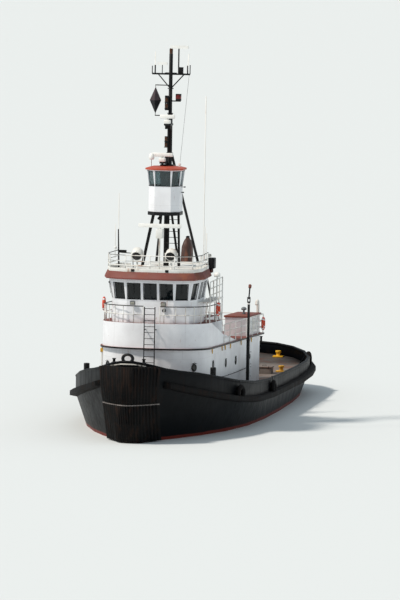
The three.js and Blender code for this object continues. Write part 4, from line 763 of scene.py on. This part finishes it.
def makeHouseRails():
    bm, spouts = bmesh.new(), bmesh.new()
    for side in (-1, 1):
        points = []
        for y in houseGear["railPosts"]:
            wall = sideOf("deckhouse", y, topOf("hull", 0, y).z + houseGear["railRise"], side)
            points.append(wall + Vector((side * 0.08, 0, 0)))
            rod(bm, wall, points[-1], 0.012, 6)
        bentRod(bm, points, 0.018, 6)
        for y in houseGear["spouts"]:
            z = boatDeckAt(y) - 0.14
            rod(spouts, (side * 2.79, y, z + 0.06), (side * 2.8, y, z - 0.2), 0.035, 8, tip=0.02)
    place(bm, "storm_rails", ["mastBlack"], "boat", "black_paint", 50.0)
    place(spouts, "drain_spouts", ["signalYellow"], "boat", "yellow_paint", 50.0)
    bm = bmesh.new()
    x, y = houseGear["pipe"]
    ground = topOf("hull", x, y).z
    top = boatDeckAt(y) - 0.085
    rod(bm, (x, y, ground - 0.05), (x, y, top), 0.05, 12)
    box(bm, (x, y, ground + 0.02), (0.24, 0.24, 0.04), soft=0.01)
    place(bm, "wall_pipe", ["railWhite"], "boat", "white_paint", 50.0)
    bm = bmesh.new()
    box(bm, (x, y, top - 0.2), (0.16, 0.16, 0.2), soft=0.02)
    place(bm, "wall_pipe_clamp", ["signalYellow"], "boat", "yellow_paint", 50.0)


# Doors: six dogs, a lever and a round light, on every weathertight door
doors = {  # node: the way that the door faces, x and y
    "deckhouse_door_port": (1, 0), "deckhouse_door_starboard": (-1, 0), "deckhouse_door_aft": (0, 1),
    "wheelhouse_door_port": (0, 1), "wheelhouse_door_starboard": (0, 1), "conning_door": (0, 1),
}


def makeDoorFittings(node, out):
    low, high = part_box(node)
    middle = (Vector(low) + Vector(high)) / 2
    out = Vector((*out, 0))
    across = Vector((0, 0, 1)).cross(out)
    face = hit(node, middle + out * 2, -out)
    wide = abs((Vector(high) - Vector(low)).dot(across)) - 0.06
    tall = high[2] - low[2]
    bm, light = bmesh.new(), bmesh.new()
    for side in (-1, 1):
        for share in (-0.36, 0.0, 0.36):
            spot = face + across * side * wide * 0.4 + Vector((0, 0, share * tall))
            rod(bm, spot - out * 0.005, spot + out * 0.035, 0.016)
            dog = spot + out * 0.03
            rod(bm, dog, dog + across * side * -0.09 + Vector((0, 0, 0.03)), 0.009, 6)
    lever = face + across * wide * 0.3 - Vector((0, 0, 0.08 * tall))
    bentRod(bm, [lever, lever + out * 0.05, lever + out * 0.05 + across * -0.13], 0.011)
    eye = face + Vector((0, 0, tall * 0.24))
    hoop(bm, eye + out * 0.004, out, min(0.13, wide * 0.24), 0.016, 24, 6)
    turned(light, [(0, 0), (0.12, 0), (0.12, 0.008), (0, 0.012)], eye - out * 0.002, out, 24)
    place(bm, node + "_dogs", ["mastBlack"], node, "black_paint", 50.0)
    place(light, node + "_light", ["lensBlack"], node, "glass", 50.0)


# Boat deck and fan houses: panels, vents, a gooseneck pipe, a third life ring on the after corner
deckTopGear = {"vents": ((2.2, 4.1), (-2.2, 4.1)), "gooseneck": (2.55, 6.42, 1.72), "ring": (2.93, 6.0, 4.28),
               "panelX": 2.69, "panel": (0.03, 0.85, 0.66)}


def makeBoatDeckGear():
    white, grey, orange = bmesh.new(), bmesh.new(), bmesh.new()
    for x, y in deckTopGear["vents"]:
        node = "fan_house_port" if x > 0 else "fan_house_starboard"
        turned(grey, [(0, -0.02), (0.1, -0.02), (0.1, 0.06), (0.05, 0.08), (0.05, 0.2), (0.14, 0.22),
                      (0.15, 0.3), (0.09, 0.37), (0, 0.39)], topOf(node, x, y), steps=20)
    for side, node in ((1, "fan_house_port"), (-1, "fan_house_starboard")):
        low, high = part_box(node)
        for share in (0.2, 0.5, 0.8):  # access panels along the side
            y = low[1] + share * (high[1] - low[1])
            box(white, (side * deckTopGear["panelX"], y, boatDeckAt(y) + 0.5), deckTopGear["panel"],
                soft=0.008)
    x, y, rise = deckTopGear["gooseneck"]
    ground = boatDeckAt(y)
    bentRod(white, [(x, y, ground - 0.02), (x, y, ground + rise - 0.2), (x, y - 0.06, ground + rise - 0.05),
                    (x, y - 0.2, ground + rise), (x, y - 0.34, ground + rise - 0.05),
                    (x, y - 0.4, ground + rise - 0.2)], 0.085, 12)
    turned(white, [(0, 0), (0.16, 0), (0.17, 0.03), (0.1, 0.06), (0, 0.06)], (x, y, ground), steps=20)
    hoop(orange, deckTopGear["ring"], (1, 0, 0), 0.3, 0.06, 36, 12)
    place(white, "boat_deck_vents", ["railWhite"], "boat", "white_paint", 40.0)
    place(grey, "fan_house_vents", ["machineGrey"], "boat", "grey_paint", 40.0)
    place(orange, "life_ring_after", ["lifeOrange"], "boat", "orange_plastic", 60.0)


# White bands of tape and a grab line on each life ring
ringBands = {"life_ring_port": (1, 0, 0), "life_ring_starboard": (0.993, 0.118, 0)}  # node: its axis


def makeRingBands():
    rings = [(Vector(deckTopGear["ring"]), Vector((1, 0, 0)))]
    for node, axis in ringBands.items():
        low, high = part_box(node)
        rings.append(((Vector(low) + Vector(high)) / 2, Vector(axis)))
    bands, lines = bmesh.new(), bmesh.new()
    for centre, axis in rings:
        across = Vector((0, 0, 1)).cross(axis).normalized()
        for i in range(4):
            turn = math.radians(45 + 90 * i)
            out = across * math.cos(turn) + Vector((0, 0, 1)) * math.sin(turn)
            along = axis.cross(out)
            hoop(bands, centre + out * 0.3, along, 0.0635, 0.004, 16, 4, deep=11.0)
            start = centre + out * 0.375
            nextOut = across * math.cos(turn + math.pi / 2) + Vector((0, 0, 1)) * math.sin(turn + math.pi / 2)
            middle = centre + (out + nextOut).normalized() * 0.366
            bentRod(lines, [start, middle, centre + nextOut * 0.375], 0.006, 5)
    place(bands, "life_ring_bands", ["tapeWhite"], "boat", "white_plastic", 60.0)
    place(lines, "life_ring_lines", ["tapeWhite"], "boat", "white_plastic", 60.0)


makePortholes()
makeHouseRails()
for node, out in doors.items():
    makeDoorFittings(node, out)
makeBoatDeckGear()
makeRingBands()
print("deckhouse and boat deck fittings made")

# Wheelhouse: rubber window frames, lights under the windows, a helm inside
windows = {  # x, distance aft, turn of the wall, width
    "rows": ((0.0, 5.70, 0, 0.64), (0.835, 5.70, 0, 0.64), (1.582, 5.865, 24, 0.59), (2.07, 6.445, 74, 0.6),
             (2.21, 7.34, 90, 0.56), (2.21, 8.28, 90, 0.56)),
    "z": 7.21, "high": 0.8, "lean": 10.8, "border": 0.032, "proud": 0.014}


def windowFrame(bm, centre, turn, wide, high, lean):  # a flat border that stands a little proud of the wall
    own = bmesh.new()
    border = windows["border"]
    bmesh.ops.create_grid(own, x_segments=1, y_segments=1, size=0.5,
                          matrix=Matrix.Diagonal((wide + 2 * border, high + 2 * border, 1, 1)))
    bmesh.ops.inset_region(own, faces=own.faces[:], thickness=border, use_even_offset=True, use_boundary=True)
    inner = min(own.faces, key=lambda face: face.calc_center_median().length)
    bmesh.ops.delete(own, geom=[inner], context="FACES")
    bmesh.ops.solidify(own, geom=own.faces[:], thickness=windows["proud"])
    bmesh.ops.recalc_face_normals(own, faces=own.faces)
    spot = (Matrix.Translation(centre) @ Matrix.Rotation(math.radians(turn), 4, "Z")
            @ Matrix.Rotation(math.radians(90 + lean), 4, "X"))
    bmesh.ops.transform(own, matrix=spot, verts=own.verts)
    absorb(bm, own)


def makeWindowFrames():
    bm, wipers = bmesh.new(), bmesh.new()
    for x, distance, turn, wide in windows["rows"]:
        for side in ((1, -1) if x else (1,)):
            angle = math.radians(side * turn)
            out = Vector((math.sin(angle), -math.cos(angle), 0))
            across = Vector((math.cos(angle), math.sin(angle), 0))
            middle = Vector((side * x, aft(distance), windows["z"]))
            beside = across * (wide / 2 + 0.03)
            wall = hit("wheelhouse", middle + beside + out, -out)
            centre = wall - beside + out * 0.006 if wall else middle
            windowFrame(bm, centre, side * turn, wide, windows["high"], windows["lean"])
            if abs(turn) < 80:  # a wiper on each front window, parked upright
                head = centre + Vector((0, 0, 0.36)) + out * 0.11
                rod(wipers, head, centre - Vector((0, 0, 0.2)) + out * 0.02, 0.009, 6)
                box(wipers, head, (0.09, 0.07, 0.06), side * turn, soft=0.01)
    place(bm, "window_frames", ["gasketBlack"], "boat", "black_paint", 40.0)
    place(wipers, "wipers", ["gasketBlack"], "boat", "black_paint", 40.0)


wallLights = {"grey": ((-0.88, 6.62), (0.71, 6.60)), "black": (0.74, 6.30), "size": (0.26, 0.12, 0.2)}


def makeWallLights():
    grey, dark, lens = bmesh.new(), bmesh.new(), bmesh.new()
    for x, z in wallLights["grey"]:
        wall = hit("wheelhouse", (x, -14, z), (0, 1, 0))
        box(grey, wall + Vector((0, -0.14, 0)), wallLights["size"], soft=0.02, tilt=18)
        box(lens, wall + Vector((0, -0.203, -0.02)), (0.2, 0.012, 0.15), tilt=18)
        rod(grey, wall, wall + Vector((0, -0.1, 0)), 0.02)
    x, z = wallLights["black"]
    wall = hit("wheelhouse", (x, -14, z), (0, 1, 0))
    turned(dark, [(0, 0), (0.05, 0), (0.05, 0.05), (0.09, 0.06), (0.09, 0.16), (0, 0.17)], wall,
           (0, -1, -0.25))
    place(grey, "wall_lights", ["machineGrey"], "boat", "grey_paint", 40.0)
    place(dark, "wall_lamp", ["mastBlack"], "boat", "black_paint", 40.0)
    place(lens, "wall_light_glasses", ["lampWhite"], "boat", "glass", 40.0)


helm = {"consoleY": -9.95, "consoleSize": (2.6, 0.5, 0.95), "chairX": 0.7, "chairY": -9.1,
        "upperY": -7.2, "upperFloor": 11.06, "upperSize": (0.7, 0.3, 1.0)}


def makeHelm():
    bm = bmesh.new()
    ground = topOf("raised_deck", 0, -9.5).z
    box(bm, (0, helm["consoleY"], ground + 0.5), helm["consoleSize"], soft=0.04)
    box(bm, (0, helm["consoleY"] - 0.1, ground + 1.06), (2.3, 0.24, 0.2), soft=0.03, tilt=-25)
    for side in (-1, 1):
        x = side * helm["chairX"]
        rod(bm, (x, helm["chairY"], ground), (x, helm["chairY"], ground + 0.6), 0.06, 12)
        box(bm, (x, helm["chairY"], ground + 0.68), (0.52, 0.5, 0.14), soft=0.05)
        box(bm, (x, helm["chairY"] + 0.26, ground + 1.08), (0.5, 0.12, 0.72), soft=0.05)
    place(bm, "helm", ["gasketBlack"], "boat", "black_paint", 40.0)
    bm = bmesh.new()
    box(bm, (0, helm["upperY"], helm["upperFloor"] + 0.55), helm["upperSize"], soft=0.04)
    place(bm, "upper_helm", ["gasketBlack"], "boat", "black_paint", 40.0)


# Wheelhouse roof: sidelights, a black case, an aerial frame, a pole with a small dome, a prop under the eave
roofGear = {"sidelight": (1.93, -4.2, 7.76), "case": (1.93, -4.2, 8.24), "caseSize": (0.37, 0.46, 0.55),
            "frame": (2.1, -7.75), "feet": (-0.88, 0.88), "pole": (-2.15, -8.3),
            "prop": ((2.33, -7.74, 7.86), (2.3, -6.37, 6.6))}
searchlights = {"tilts": {"searchlight_port": 22.0, "searchlight_starboard": 30.0},  # degrees below level
                "y": -9.9, "z": 9.065, "face": 0.259, "lens": 0.23, "bezel": 0.248}


def makeRoofGear():
    dark, white, red, green = bmesh.new(), bmesh.new(), bmesh.new(), bmesh.new()
    for side, lamp in ((1, red), (-1, green)):  # sidelights in boxes on the casing's sides
        x, y, z = roofGear["sidelight"]
        box(dark, (side * (x - 0.12), y, z + 0.1), (0.04, 0.4, 0.24), soft=0.006)
        box(dark, (side * (x - 0.1), y + 0.2, z + 0.1), (0.3, 0.04, 0.24), soft=0.006)
        box(dark, (side * (x - 0.2), y, z - 0.01), (0.44, 0.42, 0.03), soft=0.006)
        turned(lamp, [(0, 0), (0.05, 0), (0.05, 0.14), (0, 0.15)], (side * (x - 0.03), y + 0.1, z + 0.005))
    box(dark, roofGear["case"], roofGear["caseSize"], soft=0.03)
    x, y, z = roofGear["case"]
    for shift in (-0.15, 0.15):
        rod(dark, (1.48, y, z + shift), (x, y, z + shift), 0.025)
    turned(white, [(0, 0), (0.03, 0), (0.035, 0.14), (0.1, 0.28), (0.09, 0.28), (0, 0.1)],
           (x - 0.05, y - 0.2, z + 0.42), (0.1, -1, 0))
    rod(white, (x - 0.05, y - 0.2, z + 0.3), (x - 0.05, y - 0.24, z + 0.42), 0.015)
    x, y = roofGear["frame"]
    roof = topOf("wheelhouse_roof", x, y).z
    for shift in (-0.22, 0.22):
        inner = x + shift * 0.4
        bentRod(white, [(x + shift, y, roof), (inner, y, roof + 0.62), (inner, y, roof + 0.7)], 0.016)
    for share in (0.2, 0.45, 0.7):
        reach = 0.22 * (1 - 0.6 * share)
        rod(white, (x - reach, y, roof + 0.62 * share), (x + reach, y, roof + 0.62 * share), 0.012)
    for x in roofGear["feet"]:  # brackets on the coaming in front of the searchlights
        wall = hit("roof_coaming", (x, -14, 8.28), (0, 1, 0))
        box(dark, wall, (0.17, 0.05, 0.13), soft=0.01)
    x, y = roofGear["pole"]
    roof = topOf("wheelhouse_roof", x, y).z
    rod(dark, (x, y, roof), (x - 0.05, y, roof + 1.95), 0.045, 10, tip=0.03)
    bentRod(dark, [(x + 0.75, y, roof), (x + 0.72, y, roof + 0.62), (x + 0.6, y, roof + 0.74),
                   (x + 0.1, y, roof + 0.76)], 0.022)
    box(dark, (x + 0.2, y, roof + 0.82), (0.36, 0.2, 0.14), soft=0.02)
    rod(white, (x - 0.02, y, roof + 0.9), (x - 0.2, y, roof + 0.98), 0.014)
    turned(white, [(0, 0), (0.06, 0), (0.085, 0.03), (0.07, 0.08), (0, 0.1)], (x - 0.2, y, roof + 0.97))
    rod(dark, *roofGear["prop"], 0.045)
    place(dark, "roof_gear_black", ["mastBlack"], "boat", "black_paint", 40.0)
    place(white, "roof_gear_white", ["railWhite"], "boat", "white_paint", 40.0)
    place(red, "sidelight_port", ["lampRed"], "boat", "glass", 40.0)
    place(green, "sidelight_starboard", ["lampGreen"], "boat", "glass", 40.0)


def makeSearchlightFaces():  # dark lens, bezel and clamps on each drum, turned down as the drum is
    for node, degrees in searchlights["tilts"].items():
        tilt = math.radians(degrees)
        out = Vector((0, -math.cos(tilt), -math.sin(tilt)))
        down = Vector((0, math.sin(tilt), -math.cos(tilt)))
        low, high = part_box(node)
        centre = Vector(((low[0] + high[0]) / 2, searchlights["y"], searchlights["z"]))
        lens, rim = bmesh.new(), bmesh.new()
        radius = searchlights["lens"]
        turned(lens, [(0, 0), (radius, 0), (radius, 0.006), (0.12, 0.012), (0, 0.014)],
               centre + out * searchlights["face"], out, 32)
        hoop(rim, centre + out * (searchlights["face"] - 0.001), out, searchlights["bezel"], 0.018, 36, 8)
        for i in range(3):
            turn = 2 * math.pi * i / 3 + 0.5
            across = Vector((1, 0, 0)) * math.cos(turn) + down * math.sin(turn)
            box(rim, centre + out * 0.23 + across * 0.27, (0.035, 0.06, 0.035), soft=0.006)
        place(lens, node + "_lens", ["lensBlack"], node, "glass", 50.0)
        place(rim, node + "_rim", ["railWhite"], node, "white_paint", 50.0)


# Tower and conning house: cable runs, a lamp under the platform, side arms, window beads, roof gear
towerGear = {"lamp": (-0.18, -7.75), "arms": ((0.2, 12.33), (0.12, 12.05)), "roofLamp": (0.68, -7.0),
             "dome": (-0.72, -7.35)}
conningWindows = {"middle": -7.12, "z": 12.765, "high": 0.76, "wide": 0.8, "narrow": 0.5, "lean": 7.2}


def makeTowerGear():
    dark, white, amber = bmesh.new(), bmesh.new(), bmesh.new()
    for shift in (-0.06, 0.0, 0.06):
        rod(dark, (0.03 + shift, -7.01, 8.25), (0.03 + shift, -7.01, 10.86), 0.02, 6)
    x, y = towerGear["lamp"]
    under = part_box("tower_frame")[1][2] - 0.18
    rod(dark, (x, y, under), (x, y, under - 0.12), 0.03)
    turned(dark, [(0, 0), (0.07, 0), (0.11, 0.09), (0, 0.16)], (x, y, under - 0.1), (0, -0.5, -1))
    for reach, z in towerGear["arms"]:
        wall = hit("conning_house", (3, -7.12, z), (-1, 0, 0))
        rod(dark, wall, wall + Vector((reach, -0.05, 0)), 0.018)
        box(dark, wall + Vector((reach, -0.05, 0.0)), (0.08, 0.1, 0.06), soft=0.01)
    x, y = towerGear["roofLamp"]
    roof = topOf("conning_roof", x, y)
    turned(white, [(0, 0), (0.05, 0), (0.05, 0.06), (0.075, 0.07), (0.075, 0.17), (0, 0.22)], roof)
    x, y = towerGear["dome"]
    roof = topOf("conning_roof", x, y)
    rod(amber, roof, roof + Vector((0, 0, 0.36)), 0.014)
    turned(white, [(0, 0), (0.1, 0), (0.14, 0.05), (0.15, 0.16), (0.12, 0.26), (0.06, 0.33), (0, 0.35)],
           roof + Vector((0, 0, 0.34)))
    place(dark, "tower_cables_lamp", ["mastBlack"], "boat", "black_paint", 40.0)
    place(white, "conning_roof_lamp_dome", ["radomeWhite"], "boat", "white_plastic", 40.0)
    place(amber, "conning_dome_post", ["deckOxide"], "boat", "deck_red", 40.0)


def makeConningFrames():
    bm = bmesh.new()
    for i in (0, 1, 2, 3, 5, 6, 7):  # the eight sides but the after one, which has the door
        angle = math.radians(45 * i)
        out = Vector((math.sin(angle), -math.cos(angle), 0))
        across = Vector((math.cos(angle), math.sin(angle), 0))
        wide = conningWindows["narrow"] if i % 2 else conningWindows["wide"]
        middle = Vector((0, conningWindows["middle"], conningWindows["z"]))
        beside = across * (wide / 2 + 0.018)
        wall = hit("conning_house", middle + beside + out * 3, -out)
        if wall:
            hinge = wall - beside + out * 0.004
            for share in (-1, 1):  # a thin sill and head bead
                shift = share * conningWindows["high"] / 2
                lean = math.tan(math.radians(conningWindows["lean"]))
                spot = hinge + Vector((0, 0, shift)) + out * lean * shift
                box(bm, spot, (wide, 0.012, 0.03), 45 * i)
    place(bm, "conning_window_beads", ["gasketBlack"], "boat", "black_paint", 40.0)


makeWindowFrames()
makeWallLights()
makeHelm()
makeRoofGear()
makeSearchlightFaces()
makeTowerGear()
makeConningFrames()
print("wheelhouse, roof and conning house fittings made")

# Mast: lamps, flanges, sleeves on the whips, and a thin wire down from the yard
def makeMastGear():
    dark, white, red, amber = bmesh.new(), bmesh.new(), bmesh.new(), bmesh.new()
    x, y, z = mastGear["x"], mastGear["y"], mastGear["yardZ"]
    for whip in mastGear["whips"]:  # dark sleeves on the whips
        rod(dark, (whip, y, z), (whip, y, z + 0.45), 0.036, 8)
    for height in mastGear["flanges"]:
        turned(dark, [(0, 0), (0.15, 0), (0.16, 0.02), (0.15, 0.04), (0, 0.045)], (x, y, height), steps=20)
    for lampX, height in mastGear["lamps"]:
        for shift in (-0.16, 0.16):
            turned(amber, [(0, 0), (0.07, 0), (0.075, 0.03), (0.075, 0.16), (0.05, 0.2), (0, 0.21)],
                   (x + lampX, y - 0.2, height + shift - 0.1))
            box(dark, (x + lampX, y - 0.17, height + shift - 0.12), (0.2, 0.24, 0.02), soft=0.004)
    lampX, height = mastGear["rightLamp"]
    turned(red, [(0, 0), (0.115, 0), (0.12, 0.02), (0.12, 0.2), (0.115, 0.22), (0, 0.22)],
           (x + lampX, y - 0.02, height), steps=20)
    box(red, (x + lampX, y - 0.02, height + 0.08), (0.275, 0.186, 0.16), soft=0.01)
    head = mastGear["head"]
    turned(amber, [(0, 0), (0.085, 0), (0.09, 0.03), (0.09, 0.26), (0.05, 0.31), (0, 0.32)],
           (x, y, head - 0.02), steps=20)
    turned(white, [(0, 0), (0.05, 0), (0.06, 0.05), (0, 0.08)], (x, y, head + 0.29), steps=16)
    start, end = mastGear["wire"]
    rod(dark, start, end, 0.007, 5)
    place(dark, "mast_fittings", ["mastBlack"], "boat", "black_paint", 40.0)
    place(white, "mast_cap", ["radomeWhite"], "boat", "white_plastic", 40.0)
    place(red, "mast_side_lamp", ["lampRed"], "boat", "glass", 40.0)
    place(amber, "mast_lamps", ["lampAmber"], "boat", "glass", 40.0)


# Exhaust: two outlet pipes in the top of the funnel, cooling slots in its sides drawn as black strips, their
# black painted shade of the openings
funnelGear = {"x": 0.2, "pipes": (-1.98, -1.72), "pipeRadius": 0.075, "slots": 6, "slotOut": 0.262,
              "slot": (0.03, 0.5, 0.035)}


def makeFunnelGear():
    dark = bmesh.new()
    x = funnelGear["x"]
    for y in funnelGear["pipes"]:
        rod(dark, (x, y, 9.1), (x, y + 0.05, 9.42), funnelGear["pipeRadius"], 14)
    for side in (-1, 1):
        for i in range(funnelGear["slots"]):
            # black strips where the slots are: painted shade inside the openings
            box(dark, (x + side * funnelGear["slotOut"], -2.0 + i * 0.02, 8.0 + i * 0.1), funnelGear["slot"])
    place(dark, "funnel_outlets", ["mastBlack"], "boat", "black_paint", 40.0)


# Crane: a white collar under the head, a red-brown hood on the boom's tip, cable clips up the post
craneGear = {"x": 3.18, "y": 0.0, "head": 6.12, "back": 0.3, "rise": 0.69, "clips": (2.2, 3.1, 3.9)}


def makeCraneGear():
    collar, hood, clips = bmesh.new(), bmesh.new(), bmesh.new()
    x, y, head = craneGear["x"], craneGear["y"], craneGear["head"]
    turned(collar, [(0, 0), (0.07, 0), (0.074, 0.02), (0.074, 0.05), (0.07, 0.07), (0, 0.07)],
           (x, y, head - 0.33), steps=20)
    for height in craneGear["clips"]:
        hoop(clips, (x, y, height), (0, 0, 1), 0.092, 0.012, 24, 6)
    tip = Vector((x, y + craneGear["back"], head + craneGear["rise"]))
    along = Vector((0, craneGear["back"], craneGear["rise"])).normalized()
    turned(hood, [(0, 0), (0.05, 0), (0.08, 0.03), (0.085, 0.17), (0.05, 0.21), (0, 0.22)], tip - along * 0.2,
           along, 20)
    place(collar, "crane_collar", ["railWhite"], "boat", "white_paint", 40.0)
    place(hood, "crane_tip_hood", ["deckOxide"], "crane_boom", "deck_red", 40.0)
    place(clips, "crane_clips", ["mastBlack"], "boat", "black_paint", 40.0)


# Winch: tow rope wound in two layers on the drum, motor and brake on the frame
winchGear = {"y": 7.8, "z": 2.05, "half": 0.82, "barrel": 0.26, "rope": 0.032, "pitch": 0.064}


def makeWinchGear():
    rope, steel = bmesh.new(), bmesh.new()
    for layer, reach in ((1, winchGear["barrel"] + 0.03), (2, winchGear["barrel"] + 0.082)):
        turns = int(2 * (winchGear["half"] - 0.05 * layer) / winchGear["pitch"])
        for i in range(turns):
            x = (i - (turns - 1) / 2) * winchGear["pitch"] + winchGear["rope"] * (layer - 1)
            hoop(rope, (x, winchGear["y"], winchGear["z"]), (1, 0.02, 0), reach, winchGear["rope"], 24, 6)
    box(steel, (1.2, winchGear["y"], winchGear["z"]), (0.32, 0.5, 0.5), soft=0.04)
    box(steel, (-1.17, winchGear["y"] + 0.1, winchGear["z"] - 0.15), (0.24, 0.7, 0.8), soft=0.04)
    rod(steel, (0, winchGear["y"] + 0.48, 1.5), (0, winchGear["y"] + 0.48, 1.62), 0.2, 16)
    place(rope, "tow_rope_wound", ["ropeTan"], "winch_drum", "white_plastic", 60.0)
    place(steel, "winch_motor_brake", ["machineGrey"], "boat", "grey_paint", 40.0)


# Under water: zinc anodes on the hull and rope guards at the shafts
underwater = {"anodes": (6.0, 12.0, 18.0, 24.0), "anodeZ": -1.5, "anode": (0.06, 0.5, 0.12),
              "shaft": (1.85, 10.95, -2.4), "guardRadius": 0.27}


def makeAnodes():
    zinc = bmesh.new()
    for side in (-1, 1):
        for distance in underwater["anodes"]:
            spot = sideOf("hull", aft(distance), underwater["anodeZ"], side)
            box(zinc, spot, underwater["anode"], soft=0.02)
        x, y, z = underwater["shaft"]
        radius = underwater["guardRadius"]
        turned(zinc, [(0, 0), (radius, 0), (radius, 0.1), (0, 0.1)], (side * x, y, z), (0, 1, 0), 24)
    place(zinc, "anodes", ["castZinc"], "boat", "grey_paint", 40.0)


makeMastGear()
makeFunnelGear()
makeCraneGear()
makeWinchGear()
makeAnodes()
print("mast, crane, winch and underwater fittings made")
